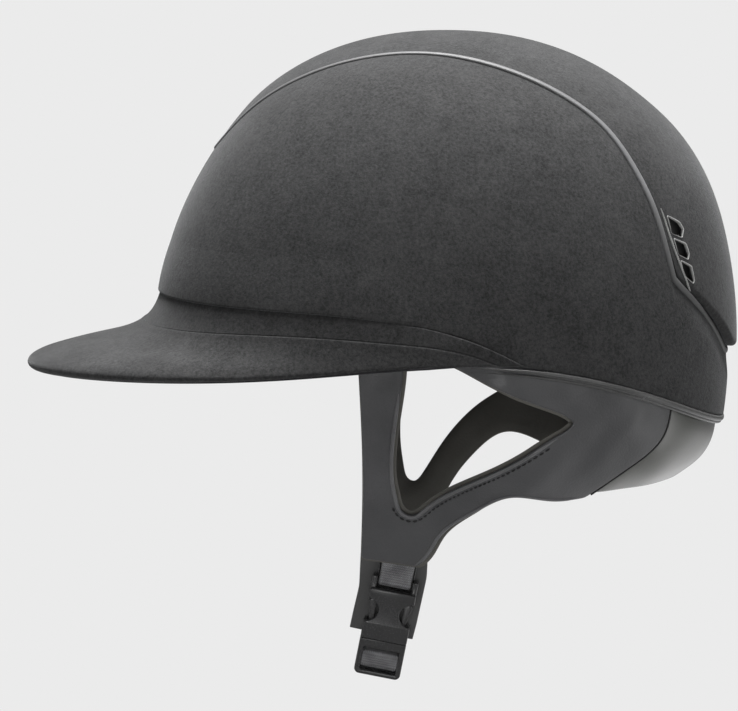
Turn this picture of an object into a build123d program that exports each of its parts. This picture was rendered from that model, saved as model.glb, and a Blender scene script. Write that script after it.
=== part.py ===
from build123d import *
from math import cos, radians, sin, sqrt
import os

os.makedirs("parts", exist_ok=True)

# Equestrian riding helmet, in millimetres. The origin is the centre of the shell's widest
# level: +X points to the brow, +Y to the wearer's left and +Z to the crown.

# Shell: half axes of the covered outer surface
SHELL_FRONT = 135.3
SHELL_REAR = 133.0
SHELL_HALF_WIDTH = 104.0
SHELL_HEIGHT = 149.0
ROUNDNESS = 2.2             # exponent of the upright superellipse section

# Layers, from the outside in
COVER = 2.2                 # suede and its backing
GLUE = 0.15                 # gap left between bonded layers
SHELL_WALL = 2.6
FOAM_WALL = 19.0
HEADBAND_WALL = 5.5
HEADBAND_HEIGHT = 40.0
CROWN_PAD_LENGTH = 90.0
CROWN_PAD_WIDTH = 64.0
CROWN_PAD_THICKNESS = 5.0
DOT_RADIUS = 9.0
DOT_THICKNESS = 1.0

# Rim height at the brow, above the ear and at the nape
RIM_BROW = 1.0
RIM_EAR = 5.5
RIM_NAPE = -31.0
TRIM_HEIGHT = 2.8           # gloss piping along the rim
TRIM_PROUD = 1.0

# Crown panel
CROWN_REAR = 136.8          # the panel stands proud of the shell at the back
CROWN_HALF_WIDTH = 94.3     # its own cross curve is tighter than the shell's
PANEL_TIP = 111.0           # front end of the panel, from the origin
PANEL_TOP_HALF = 31.0       # half width of the panel over the crown
PANEL_REAR_HALF = 50.0      # half width of the panel at the back
PIPING_WIDTH = 3.2
PIPING_PROUD = 0.9
SEAM_GAP = 0.3
LIP_HEIGHT = 1.0            # lower edge of the rear lip
LIP_HALF_WIDTH = 18.0
LIP_CORNER = 36.0           # height at which the lip's slanted corners start

# Gill vents, three on each side of the crown panel
VENT_COUNT = 3
VENT_TOP = 64.0             # centre height of the top opening
VENT_PITCH = 11.0
VENT_WIDTH = 9.0
VENT_HEIGHT = 7.0
VENT_FRAME = 0.9            # wall of the frame that lines each opening
VENT_PROUD = 0.3
VENT_MESH = 1.0
VENT_ACROSS = 44.5          # distance of the vents from the middle plane
VENT_AROUND = 33.0          # direction that the vents face, from straight back, degrees

# Visor
VISOR_REACH = 61.4          # tip of the visor beyond the shell's brow
VISOR_SIDE = 3.0            # how far its edge stands out at the temples
VISOR_SKIN = 2.0
VISOR_CORE = 3.2
VISOR_TIP_DROP = 9.0        # lower edge at the tip, below the origin
VISOR_TEMPLE_RISE = 3.0     # lower edge beside the temples, above the origin
BAND_LOW = 15.0             # seam between the visor's cover and its band
BAND_HIGH = 26.0            # seam between the band and the shell
BAND_END = 33.0             # where the band runs out on the rim, behind the origin

# Harness leather
LEATHER = 1.6
LINING = 1.1
STRAP_FRONT = 39.0          # front edge of the temple strap, ahead of the origin
STRAP_WIDTH = 20.5
STRAP_NECK = 13.5           # narrowest width of the temple strap
STRAP_TOP = 12.0            # height of the strap's upper end inside the foam
TEMPLE_HALF_WIDTH = 75.0    # distance of its upper end from the middle plane
EAR_APEX = 59.0             # rear corner of the ear opening, behind the origin
EAR_APEX_DROP = 24.0
EAR_BOTTOM = 15.0           # lowest point of the ear opening, ahead of the origin
EAR_BOTTOM_DROP = 74.0
HEM_DROP = 99.0             # lower hem of the harness
LINING_MARGIN = 1.6         # lining shows this much beyond the leather
RIGHT_LIFT = 10.0           # the right wrap carries no buckle and bows up by this much
BINDING = 3.4               # rolled binding on the lower edge of the ear opening
BINDING_PROUD = 1.2
RIVET_RADIUS = 4.0
RIVET_SHANK = 1.5
RIVET_CAP = 1.4

# Nape pad
NAPE_THICKNESS = 5.5
NAPE_DROP = 60.0
NAPE_SEAM = 103.0           # where its front seam meets the rim, behind the origin
GUSSET_HALF_WIDTH = 7.0

# Webbing and buckle. The buckle's own axes: across, up its length, and out of its face
WEBBING_WIDTH = 16.0
WEBBING = 1.4
BUCKLE_AHEAD = 28.4         # centre of the socket's mouth
BUCKLE_ACROSS = 22.0
BUCKLE_DROP = 136.7
BUCKLE_TILT = 11.0          # lower end forward, degrees
BUCKLE_LEAN = 6.5           # lower end inward, degrees
BUCKLE_WIDTH = 22.0
BUCKLE_THICKNESS = 7.0
SOCKET_WALL = 1.7
SOCKET_BODY = 25.0          # solid length of the socket above its mouth
SOCKET_LENGTH = 31.0        # with the two ears
EAR_WIDTH = 2.6
BAR_RADIUS = 1.2
WINDOW_START = 8.5
WINDOW_END = 20.0
WINDOW_DEPTH = 6.0
PRONG_CLEARANCE = 0.3
PRONG_WIDTH = 2.2
PRONG_TIP = 19.2
PRONG_HINGE = 2.0           # hinge line below the mouth
SQUEEZE_PER_PULL = 0.010    # radians that each prong turns in for each mm of pull
TONGUE_LENGTH = 18.0
TONGUE_THICKNESS = 6.0
TONGUE_SLOT = 3.4
TONGUE_BAR = 4.6
GUIDE_HALF_WIDTH = 1.5
GUIDE_LENGTH = 16.0
FLAP_WIDTH = 29.0
FLAP_THICKNESS = 1.6

REACH = 320.0               # size of the cutting blocks, larger than the helmet
UNIT = 100.0
BASE = (Align.CENTER, Align.CENTER, Align.MIN)


def save(name, shape):
    """Write one piece to its STEP file."""
    solids = shape.solids()
    piece = solids[0] if len(solids) == 1 else Compound(children=list(solids))
    export_step(piece, f"parts/{name}.step")
    print(name, len(solids), round(sum(s.volume for s in solids), 1))


def both_sides(name, shape):
    """Write a left-hand piece and its mirror image."""
    save(f"{name}_left", shape)
    save(f"{name}_right", mirror(shape, about=Plane.XZ))


def whole(left_half):
    """Join a left half to its mirror image."""
    return left_half + mirror(left_half, about=Plane.XZ)


def cut_both(form, tool):
    """Cut a left-hand tool and its mirror image out of a symmetric form."""
    return whole((form & LEFT) - tool)


# ---------------------------------------------------------------- domes

def half_dome():
    """Half of a superellipse dome of radius and height UNIT, on the +Y side."""
    power = 2 / ROUNDNESS
    outline = []
    for step in range(13):
        angle = radians(-30 + 10 * step)
        level = abs(sin(angle)) ** power * (1 if angle > 0 else -1)
        outline.append((UNIT * max(cos(angle), 0) ** power, 0, UNIT * level))
    outline[-1] = (0, 0, UNIT)
    low = outline[0][2]
    curve = Spline(*outline, tangents=((0.35, 0, 1), (-1, 0, 0)))
    wall = [curve, Line((0, 0, UNIT), (0, 0, low)), Line((0, 0, low), outline[0])]
    return revolve(make_face(wall), axis=Axis.Z, revolution_arc=180)


HALF_DOME = half_dome()


def dome(inset=0.0, rear=SHELL_REAR, half_width=SHELL_HALF_WIDTH):
    """Solid dome whose surface lies inset below the shell's outer surface."""
    across = (half_width - inset) / UNIT
    tall = (SHELL_HEIGHT - inset) / UNIT
    front_half = scale(Rot(0, 0, -90) * HALF_DOME, by=((SHELL_FRONT - inset) / UNIT, across, tall))
    rear_half = scale(Rot(0, 0, 90) * HALF_DOME, by=((rear - inset) / UNIT, across, tall))
    return front_half + rear_half


def dome_share(height):
    """Radius of the dome at a height, as a share of its radius at the origin."""
    return (1 - abs(height / SHELL_HEIGHT) ** ROUNDNESS) ** (1 / ROUNDNESS)


# ---------------------------------------------------------------- cutting blocks

def block(x_from, x_to, y_from=-REACH, y_to=REACH, z_from=-REACH, z_to=REACH):
    """Box between the given limits."""
    size = (x_to - x_from, y_to - y_from, z_to - z_from)
    centre = ((x_from + x_to) / 2, (y_from + y_to) / 2, (z_from + z_to) / 2)
    return Pos(*centre) * Box(*size)


LEFT = block(-REACH, REACH, y_from=0)


def side_block(edges):
    """Block with the given closed side outline, as wide as the helmet."""
    return extrude(make_face(edges), amount=REACH, dir=(0, 1, 0), both=True)


def side_points(points, raised=0.0):
    """Side-view points, as (ahead, up), made into space points."""
    return [(x, 0, z + raised) for x, z in points]


def above(points, raised=0.0):
    """Everything above a smooth side-view line."""
    line = side_points(points, raised)
    start, end = line[0], line[-1]
    corners = [end, (end[0], 0, REACH), (start[0], 0, REACH), start]
    return side_block([Spline(*line), Polyline(*corners)])


def rim_line():
    """Side view of the rim, from the brow back to the nape."""
    return [
        (SHELL_FRONT + 30, RIM_BROW),
        (SHELL_FRONT * 0.45, (RIM_BROW + RIM_EAR) / 2),
        (-SHELL_REAR * 0.1, RIM_EAR),
        (-SHELL_REAR * 0.41, RIM_EAR - 5),
        (-SHELL_REAR * 0.76, RIM_EAR + (RIM_NAPE - RIM_EAR) * 0.56),
        (-SHELL_REAR, RIM_NAPE - 1),
        (-SHELL_REAR - 20, RIM_NAPE - 13),
    ]


RIM = above(rim_line())

OUTER = dome()
SHELL_OUTER = dome(COVER)
SHELL_INNER_AT = COVER + SHELL_WALL
FOAM_OUTER_AT = SHELL_INNER_AT + GLUE
FOAM_INNER_AT = FOAM_OUTER_AT + FOAM_WALL
FOAM_INNER = dome(FOAM_INNER_AT)


# ---------------------------------------------------------------- crown panel, cover and piping

def panel_outline(grow):
    """Plan outline of the crown panel, grown outwards: a rounded front tip that widens to the rear."""
    half = [
        (-SHELL_REAR * 1.15, PANEL_REAR_HALF + 0.5),
        (-SHELL_REAR * 0.85, PANEL_REAR_HALF),
        (-SHELL_REAR * 0.5, PANEL_REAR_HALF - 5.5),
        (-SHELL_REAR * 0.05, PANEL_TOP_HALF + 2),
        (SHELL_FRONT * 0.4, PANEL_TOP_HALF * 0.72),
        (PANEL_TIP - 15, PANEL_TOP_HALF * 0.36),
        (PANEL_TIP - 4, PANEL_TOP_HALF * 0.22),
    ]
    mirrored = [(x, -y) for x, y in reversed(half)]
    sides = Spline(*half, (PANEL_TIP, 0), *mirrored)
    grown = []
    for step in range(41):
        along = sides % (step / 40)
        grown.append(sides @ (step / 40) + Vector(-along.Y, along.X) * grow)
    sides = Spline(*grown)
    return make_face([sides, Line(sides @ 1, sides @ 0)])


def panel_region(grow):
    """Column that holds the crown panel, grown outwards, with its lip cut at the rear."""
    column = extrude(Pos(0, 0, LIP_HEIGHT - 10) * panel_outline(grow), amount=REACH)
    drop = 1.3 * grow
    corners = [
        (-REACH, LIP_CORNER),
        (-PANEL_REAR_HALF, LIP_CORNER),
        (-LIP_HALF_WIDTH, LIP_HEIGHT),
        (LIP_HALF_WIDTH, LIP_HEIGHT),
        (PANEL_REAR_HALF, LIP_CORNER),
        (REACH, LIP_CORNER),
        (REACH, -REACH),
        (-REACH, -REACH),
    ]
    below_lip = make_face(Polyline(*[(0, y, z - drop) for y, z in corners], close=True))
    return column - extrude(below_lip, amount=-REACH, dir=(1, 0, 0))


def vent_places():
    """Frame of each left-hand vent opening: across, up, and out of the shell."""
    around = radians(VENT_AROUND)
    facing = (-cos(around), sin(around), 0)
    for number in range(VENT_COUNT):
        height = VENT_TOP - VENT_PITCH * number
        share = sqrt(dome_share(height) ** 2 - (VENT_ACROSS / CROWN_HALF_WIDTH) ** 2)
        yield Plane(origin=(-CROWN_REAR * share, VENT_ACROSS, height), x_dir=(0, 0, 1), z_dir=facing)


def vent_block(spare, depth_in, depth_out=12.0):
    """Left-hand vent openings as rounded bars through the shell."""
    bars = None
    for place in vent_places():
        size = RectangleRounded(VENT_HEIGHT + 2 * spare, VENT_WIDTH + 2 * spare, 1.5)
        bar = extrude(place.offset(-depth_in) * size, amount=depth_in + depth_out)
        bars = bar if bars is None else bars + bar
    return bars


CROWN_OUTER = dome(rear=CROWN_REAR, half_width=CROWN_HALF_WIDTH)
PANEL = panel_region(0)
PIPING_INNER = panel_region(SEAM_GAP)
PIPING_OUTER = panel_region(SEAM_GAP + PIPING_WIDTH)
COVER_HOLE = panel_region(2 * SEAM_GAP + PIPING_WIDTH)
SKIN_CORE = dome(COVER - GLUE)

VENT_HOLES = vent_block(VENT_FRAME + GLUE, 60.0)

save("crown_panel", cut_both((CROWN_OUTER - SKIN_CORE) & PANEL, VENT_HOLES))
save("shell_cover", whole((OUTER & LEFT & RIM) - COVER_HOLE - SKIN_CORE))
piping_ring = PIPING_OUTER - PIPING_INNER
save("crown_piping", whole((dome(-PIPING_PROUD) & LEFT & piping_ring) - SKIN_CORE))

# ---------------------------------------------------------------- vents

FRAME_ZONE = dome(-VENT_PROUD, CROWN_REAR, CROWN_HALF_WIDTH) - dome(SHELL_INNER_AT)
both_sides("vent_frame", (vent_block(VENT_FRAME, 60.0) - vent_block(0, 70.0)) & FRAME_ZONE)
MESH_ZONE = dome(SHELL_INNER_AT + GLUE) - dome(SHELL_INNER_AT + GLUE + VENT_MESH)
both_sides("vent_mesh", vent_block(VENT_FRAME, 60.0) & MESH_ZONE)

# ---------------------------------------------------------------- shell and foam

save("outer_shell", cut_both((SHELL_OUTER - dome(SHELL_INNER_AT)) & RIM, VENT_HOLES))
FOAM = cut_both(dome(FOAM_OUTER_AT) - FOAM_INNER, VENT_HOLES)


# ---------------------------------------------------------------- visor

def visor_form(depth):
    """Solid under the visor's upper surface, set in by a depth below that surface."""
    levels = [
        (-14.0, 1.0, 1.0),
        (-4.0, 1.0, 1.0),
        (-0.5, 0.93, 1.0),
        (2.4, 0.754, 0.95),
        (7.0, 0.446, 0.85),
        (BAND_LOW - 2.3, 0.145, 0.7),
        (BAND_HIGH - 6, 0.04, 0.35),
        (BAND_HIGH, 0.004, 0.08),
        (BAND_HIGH + 10, -0.02, -0.4),
    ]
    slices = []
    for height, reach_share, side_share in levels:
        shell = dome_share(max(height, 0))
        side = side_share * VISOR_SIDE - 0.5 * depth
        ahead = SHELL_FRONT * shell + reach_share * VISOR_REACH - 0.8 * depth
        across = SHELL_HALF_WIDTH * shell + side
        behind = SHELL_REAR * shell + side
        front_arc = EllipticalCenterArc((0, 0), ahead, across, start_angle=-90, arc_size=180)
        rear_arc = EllipticalCenterArc((0, 0), behind, across, start_angle=90, arc_size=180)
        slices.append(Pos(0, 0, height - depth) * make_face([front_arc, rear_arc]))
    return loft(slices)


def visor_edge_line():
    """Side view of the visor's lower edge, from its tip back to the rim above the ear."""
    tip = SHELL_FRONT + VISOR_REACH
    return [
        (tip + 20, -VISOR_TIP_DROP - 1),
        (SHELL_FRONT * 0.92, -VISOR_TIP_DROP * 0.67),
        (SHELL_FRONT * 0.15, VISOR_TEMPLE_RISE),
        (-BAND_END - 10, RIM_EAR - 1),
    ]


def seam_line(front_height, side_height, rear_height):
    """Side view of a seam round the visor that drops to the rim behind the temple."""
    return [
        (SHELL_FRONT + VISOR_REACH, front_height),
        (SHELL_FRONT * 0.5, front_height + 1),
        (SHELL_FRONT * 0.12, side_height),
        (-BAND_END * 0.4, (side_height + rear_height) / 2 + 2),
        (-BAND_END, rear_height),
        (-BAND_END - 12, rear_height - 14),
    ]


VISOR_EDGE = above(visor_edge_line())
VISOR_INSET_EDGE = above(visor_edge_line(), raised=VISOR_SKIN + GLUE)
BAND_TOP = above(seam_line(BAND_HIGH, BAND_HIGH - 2.5, RIM_EAR + 0.5))
BAND_BOTTOM = above(seam_line(BAND_LOW, BAND_LOW - 1, RIM_EAR - 1))
BAND_SEAM = above(seam_line(BAND_LOW, BAND_LOW - 1, RIM_EAR - 1), raised=SEAM_GAP)
COVERED_SHELL = dome(-GLUE)
VISOR_SPAN = block(-BAND_END - 4, REACH)
PLATE_SPAN = block(0, REACH, z_to=BAND_HIGH)


def visor_layer(depth, thickness, edge, span):
    """One layer of the visor, outside the shell and above an edge block's line."""
    layer = visor_form(depth) - COVERED_SHELL - visor_form(depth + thickness)
    return layer & edge & span


CORE_AT = VISOR_SKIN + GLUE
UNDER_AT = CORE_AT + VISOR_CORE + GLUE
skin = visor_layer(0, VISOR_SKIN, VISOR_EDGE, VISOR_SPAN)
save("visor_cover_top", skin - BAND_BOTTOM)
save("visor_band", (skin & BAND_SEAM) - BAND_TOP)
save("visor_core", visor_layer(CORE_AT, VISOR_CORE, VISOR_INSET_EDGE, PLATE_SPAN) - BAND_TOP)
save("visor_cover_under", visor_layer(UNDER_AT, VISOR_SKIN, VISOR_INSET_EDGE, PLATE_SPAN) - BAND_BOTTOM)
ROLL_TOP = above(visor_edge_line(), raised=VISOR_SKIN)
save("visor_edge_binding", visor_layer(CORE_AT, UNDER_AT + 2, VISOR_EDGE, PLATE_SPAN) - ROLL_TOP)

# ---------------------------------------------------------------- rim trim

TRIM_TOP = above(rim_line(), raised=-GLUE)
TRIM_BOTTOM = above(rim_line(), raised=-GLUE - TRIM_HEIGHT)
TRIM_SPAN = block(-REACH, -BAND_END + 6)
save("rim_trim", ((dome(-TRIM_PROUD) - dome(SHELL_INNER_AT)) & TRIM_BOTTOM & TRIM_SPAN) - TRIM_TOP)


# ---------------------------------------------------------------- harness form

def smooth_step(share):
    """Smooth change from 0 to 1 as share goes from 0 to 1."""
    share = min(max(share, 0), 1)
    return share * share * (3 - 2 * share)


# Plan shape of the harness at each height: how far behind the origin it reaches, its half
# width behind the ears and its half width at the temple straps
HARNESS_LEVELS = [
    (14.0, SHELL_REAR - 6.5, SHELL_HALF_WIDTH - 6.5, TEMPLE_HALF_WIDTH),
    (0.0, SHELL_REAR - 5.0, SHELL_HALF_WIDTH - 5.0, TEMPLE_HALF_WIDTH),
    (-16.0, SHELL_REAR - 5.0, SHELL_HALF_WIDTH - 6.5, TEMPLE_HALF_WIDTH - 3.5),
    (-33.0, SHELL_REAR - 5.2, SHELL_HALF_WIDTH - 10.5, TEMPLE_HALF_WIDTH - 10.5),
    (-50.0, SHELL_REAR - 12.2, SHELL_HALF_WIDTH - 19.0, TEMPLE_HALF_WIDTH - 20.0),
    (-62.0, SHELL_REAR - 26.0, SHELL_HALF_WIDTH - 28.0, TEMPLE_HALF_WIDTH - 28.5),
    (-78.0, SHELL_REAR - 42.0, SHELL_HALF_WIDTH - 40.0, TEMPLE_HALF_WIDTH - 38.0),
    (-108.0, SHELL_REAR - 60.0, SHELL_HALF_WIDTH - 56.0, TEMPLE_HALF_WIDTH - 47.5),
]


def harness_level(level, inset):
    """Closed plan curve of the harness at one level, set in by a distance."""
    height, rear, half_width, temple = level
    rear, half_width, temple = rear - inset, half_width - inset, temple - inset
    sweep_end = 27 + 0.4 * min(-height, 70)
    half = []
    for step in range(6):
        angle = radians(18 * step)
        half.append(-rear * cos(angle * 0.9))
    half += [-10.0, 8.0, 24.0, STRAP_FRONT + 3]
    points = []
    for ahead in half:
        blend = smooth_step((22 - ahead) / (22 + sweep_end))
        wide = half_width * sqrt(max(1 - (min(ahead, 0) / rear) ** 2, 0))
        points.append((ahead, temple + (wide - temple) * blend))
    points[0] = (-rear, 0)
    points.append((STRAP_FRONT + 3 + temple * 0.3, temple * 0.72))
    points.append((STRAP_FRONT + 3 + temple * 0.45, 0))
    points += [(x, -y) for x, y in reversed(points[1:-1])]
    return Pos(0, 0, height) * make_face(Spline(*points, periodic=True))


def harness_form(inset):
    """Solid inside the harness surface, set in by a distance."""
    return loft([harness_level(level, inset) for level in HARNESS_LEVELS])


def nape_seam(behind=0.0):
    """Seam between harness and nape pad, from its low end up past the rim."""
    return Spline(*side_points([
        (EAR_BOTTOM - 79 - behind, -NAPE_DROP - behind),
        (-NAPE_SEAM + 19 - behind, -47),
        (-NAPE_SEAM + 3 - behind, -33),
        (-NAPE_SEAM - behind, -20),
        (-NAPE_SEAM - behind, 30),
    ]))


def harness_outline(margin, lift=0.0):
    """Side view of one harness: temple strap, rear wrap and the hem that joins them."""
    front = Spline(*side_points([
        (STRAP_FRONT + margin * 0.3, STRAP_TOP),
        (STRAP_FRONT - 2 + margin * 0.3, -45),
        (STRAP_FRONT - 0.5 + margin * 0.3, -HEM_DROP + 3 - margin),
    ]))
    hem_rear = (EAR_BOTTOM - 4 - margin, -HEM_DROP - 2 - margin)
    hem = Line(front @ 1, side_points([hem_rear])[0])
    lower = Spline(*side_points([
        hem_rear,
        (EAR_BOTTOM - 12 - margin, -85 - 0.4 * margin + 0.45 * lift),
        (EAR_BOTTOM - 29, -70.5 - margin + 0.95 * lift),
        (EAR_BOTTOM - 45, -60.5 - margin + 0.75 * lift),
        (EAR_BOTTOM - 66, -62.5 - margin + 0.4 * lift),
        (EAR_BOTTOM - 79, -NAPE_DROP - 0.5 * margin),
    ]))
    seam = nape_seam()
    top = Line(seam @ 1, front @ 0)
    edges = [front, hem, lower, seam, top]
    if margin:
        edges.append(Line(lower @ 1, seam @ 0))
    return side_block(edges)


def ear_opening(shrink, lift=0.0):
    """Side view of the ear opening between temple strap and rear wrap, open at the top."""
    strap_rear = STRAP_FRONT - STRAP_WIDTH
    neck_rear = STRAP_FRONT - 1 - STRAP_NECK
    points = [
        (strap_rear - shrink, 40),
        (strap_rear - shrink, -2),
        (strap_rear + 4 - shrink, -26),
        (neck_rear - shrink, -48),
        (neck_rear - 2 - shrink, -64),
        (EAR_BOTTOM, -EAR_BOTTOM_DROP + shrink),
        (EAR_BOTTOM - 13, -EAR_BOTTOM_DROP + 11 + shrink + 0.6 * lift),
        (-EAR_APEX + 22, -37.5 + shrink + 0.6 * lift),
        (-EAR_APEX + 3 + shrink, -EAR_APEX_DROP - 1 + shrink),
        (-EAR_APEX + 3 + shrink, -EAR_APEX_DROP + 4.5 - shrink),
        (-EAR_APEX + 30, -9.5 - shrink),
        (-EAR_APEX + 43, -4 - shrink),
        (-4, 4),
        (-4, 40),
    ]
    front = Spline(*side_points(points[1:6]))
    lower = Spline(*side_points(points[5:9]))
    apex = Line(*side_points(points[8:10]))
    upper = Spline(*side_points(points[9:13]))
    cap = Polyline(*side_points([points[12], points[13], points[0], points[1]]))
    return side_block([front, lower, apex, upper, cap])


RIM_SEAT = above(rim_line(), raised=-TRIM_HEIGHT - 2 * GLUE)
FRONT_SPAN = block(EAR_BOTTOM, REACH)
REAR_RIM = RIM_SEAT - FRONT_SPAN
LINING_AT = LEATHER + GLUE
LINING_BACK = LINING_AT + LINING
STRAP_MIDDLE = STRAP_FRONT - STRAP_WIDTH / 2
RIVET_HEIGHT = STRAP_TOP - RIVET_RADIUS - 2


def rivet(radius, inner, outer):
    """Disc across the left temple strap, between two distances from the middle plane."""
    disc = Cylinder(radius, outer - inner, align=BASE)
    return Pos(STRAP_MIDDLE, inner, RIVET_HEIGHT) * Rot(-90, 0, 0) * disc


RIVET_HOLE = rivet(RIVET_SHANK + GLUE, TEMPLE_HALF_WIDTH - 12, TEMPLE_HALF_WIDTH + 12)


def harness_layer(depth, thickness, region):
    """Layer of the harness between two depths below its surface, within a region."""
    return (harness_form(depth) & region) - harness_form(depth + thickness)


def harness_side(name, lift):
    """Leather, lining and ear binding of one harness, as left-hand pieces."""
    cuts = REAR_RIM + RIVET_HOLE
    leather = (harness_outline(0, lift) & LEFT) - ear_opening(0, lift) - cuts
    lining = (harness_outline(LINING_MARGIN, lift) & LEFT) - ear_opening(LINING_MARGIN, lift) - cuts
    bead = ear_opening(-BINDING, lift) - ear_opening(0, lift)
    bead &= block(-EAR_APEX, STRAP_FRONT, 0, REACH, -REACH, -EAR_APEX_DROP)
    pieces = [
        harness_layer(0, LEATHER, leather),
        harness_layer(LINING_AT, LINING, lining),
        harness_layer(-BINDING_PROUD, BINDING_PROUD - GLUE, bead),
    ]
    for kind, piece in zip(("harness", "harness_lining", "ear_binding"), pieces):
        shape = piece if name == "left" else mirror(piece, about=Plane.XZ)
        save(f"{kind}_{name}", shape)


harness_side("left", 0.0)
harness_side("right", RIGHT_LIFT)
cap_at = TEMPLE_HALF_WIDTH - LINING_BACK - GLUE
shank = rivet(RIVET_SHANK, cap_at, TEMPLE_HALF_WIDTH + 8)
both_sides("harness_rivet", rivet(RIVET_RADIUS, cap_at - RIVET_CAP, cap_at) + shank)

# ---------------------------------------------------------------- nape

seam = nape_seam(SEAM_GAP)
far_low = (-REACH, 0, -NAPE_DROP - SEAM_GAP)
NAPE_SIDE = side_block([seam, Polyline(seam @ 1, (-REACH, 0, 30), far_low, seam @ 0)])
pad_side = (block(-REACH, 0, GUSSET_HALF_WIDTH, REACH, -NAPE_DROP) & NAPE_SIDE) - RIM_SEAT
both_sides("nape_pad", harness_layer(SEAM_GAP, NAPE_THICKNESS, pad_side))
half_gusset = GUSSET_HALF_WIDTH - SEAM_GAP
gusset_span = block(-REACH, -NAPE_SEAM, -half_gusset, half_gusset, -NAPE_DROP + 8) - RIM_SEAT
save("nape_gusset", harness_layer(1.5, LEATHER, gusset_span))

# ---------------------------------------------------------------- foam and comfort pads

save("foam_liner", cut_both(FOAM & above(rim_line(), raised=GLUE), RIVET_HOLE))
BAND_FORM = dome(FOAM_INNER_AT + GLUE) - dome(FOAM_INNER_AT + HEADBAND_WALL)
LINER = BAND_FORM & above(rim_line(), raised=3) & block(-REACH, REACH, z_to=HEADBAND_HEIGHT)
save("brow_pad", LINER & block(STRAP_FRONT + 4, REACH))
both_sides("side_pad", LINER & block(-NAPE_SEAM + 28, STRAP_FRONT - STRAP_WIDTH - 4, 0))
save("rear_pad", LINER & block(-REACH, -NAPE_SEAM + 24))
dot_zone = dome(FOAM_INNER_AT + GLUE) - dome(FOAM_INNER_AT + GLUE + DOT_THICKNESS)
dots = None
for ahead, across in ((1, 1), (1, -1), (-1, 1), (-1, -1)):
    place = Pos(ahead * CROWN_PAD_LENGTH * 0.25, across * CROWN_PAD_WIDTH * 0.25, 0)
    dot = place * Cylinder(DOT_RADIUS, REACH, align=BASE)
    dots = dot if dots is None else dots + dot
save("hook_dots", dot_zone & dots)
pad_at = FOAM_INNER_AT + GLUE + DOT_THICKNESS + SEAM_GAP
oval = extrude(Ellipse(CROWN_PAD_LENGTH / 2, CROWN_PAD_WIDTH / 2), amount=REACH)
save("crown_pad", (dome(pad_at) - dome(pad_at + CROWN_PAD_THICKNESS)) & oval)

# ---------------------------------------------------------------- buckle

tilt, lean = radians(BUCKLE_TILT), radians(BUCKLE_LEAN)
BUCKLE_UP = Vector(-sin(tilt) * cos(lean), sin(lean), cos(tilt) * cos(lean))
BUCKLE_OUT = Vector(sin(tilt) * sin(lean), cos(lean), -cos(tilt) * sin(lean))
BUCKLE_ORIGIN = Vector(BUCKLE_AHEAD, BUCKLE_ACROSS, -BUCKLE_DROP)
BUCKLE = Plane(origin=BUCKLE_ORIGIN, x_dir=BUCKLE_UP.cross(BUCKLE_OUT), z_dir=BUCKLE_OUT)


def slab(outline, low, high):
    """Outline in the buckle's face, made into a slab between two depths."""
    return Pos(0, 0, low) * extrude(outline, amount=high - low)


def rectangle(x_from, x_to, y_from, y_to):
    """Rectangle between limits across and along the buckle."""
    middle = Pos((x_from + x_to) / 2, (y_from + y_to) / 2)
    return middle * Rectangle(x_to - x_from, y_to - y_from)


HALF = BUCKLE_WIDTH / 2
FACE = BUCKLE_THICKNESS / 2
MOUTH_HALF = HALF - SOCKET_WALL - 0.3
BAR_AT = SOCKET_LENGTH - BAR_RADIUS - 1.2
WINDOW_MIDDLE = (WINDOW_START + WINDOW_END) / 2
ear_inner = HALF - EAR_WIDTH
ear_rise = SOCKET_LENGTH - SOCKET_BODY

socket = slab(rectangle(-HALF, HALF, 0, SOCKET_BODY), -FACE, FACE)
for side in (-1, 1):
    ear = rectangle(ear_inner, HALF, SOCKET_BODY - 1, SOCKET_LENGTH)
    ear = ear if side == 1 else mirror(ear, about=Plane.YZ)
    socket += slab(ear, -FACE + 0.8, FACE - 1.2)
socket = fillet(socket.edges().filter_by(Axis.Z).group_by(Axis.Y)[-1], 1.0)
window = Pos(HALF + 0.8, WINDOW_MIDDLE) * Ellipse(WINDOW_DEPTH + 0.8, (WINDOW_END - WINDOW_START) / 2)
window += mirror(window, about=Plane.YZ)
socket -= slab(window, -REACH, REACH)
cavity_face = FACE - SOCKET_WALL
socket -= slab(rectangle(-MOUTH_HALF, MOUTH_HALF, -1, WINDOW_END + 2), -cavity_face, cavity_face)
bar = Rot(0, 90, 0) * Cylinder(BAR_RADIUS, 2 * ear_inner + 1)
socket += Pos(0, BAR_AT, -FACE + 0.8 + BAR_RADIUS) * bar
save("buckle_socket", BUCKLE * socket)

# Prongs hinge in the tongue; their backs ramp outwards so that they fold in as it is pulled
prong_outer = MOUTH_HALF - PRONG_CLEARANCE
hinge_across = prong_outer - PRONG_WIDTH / 2
prong_face = cavity_face - PRONG_CLEARANCE + 0.05


def ramp(along):
    """Outer edge of a prong at a distance above the mouth."""
    return prong_outer + SQUEEZE_PER_PULL * (along + PRONG_HINGE) * max(along - WINDOW_START, 0)


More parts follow.
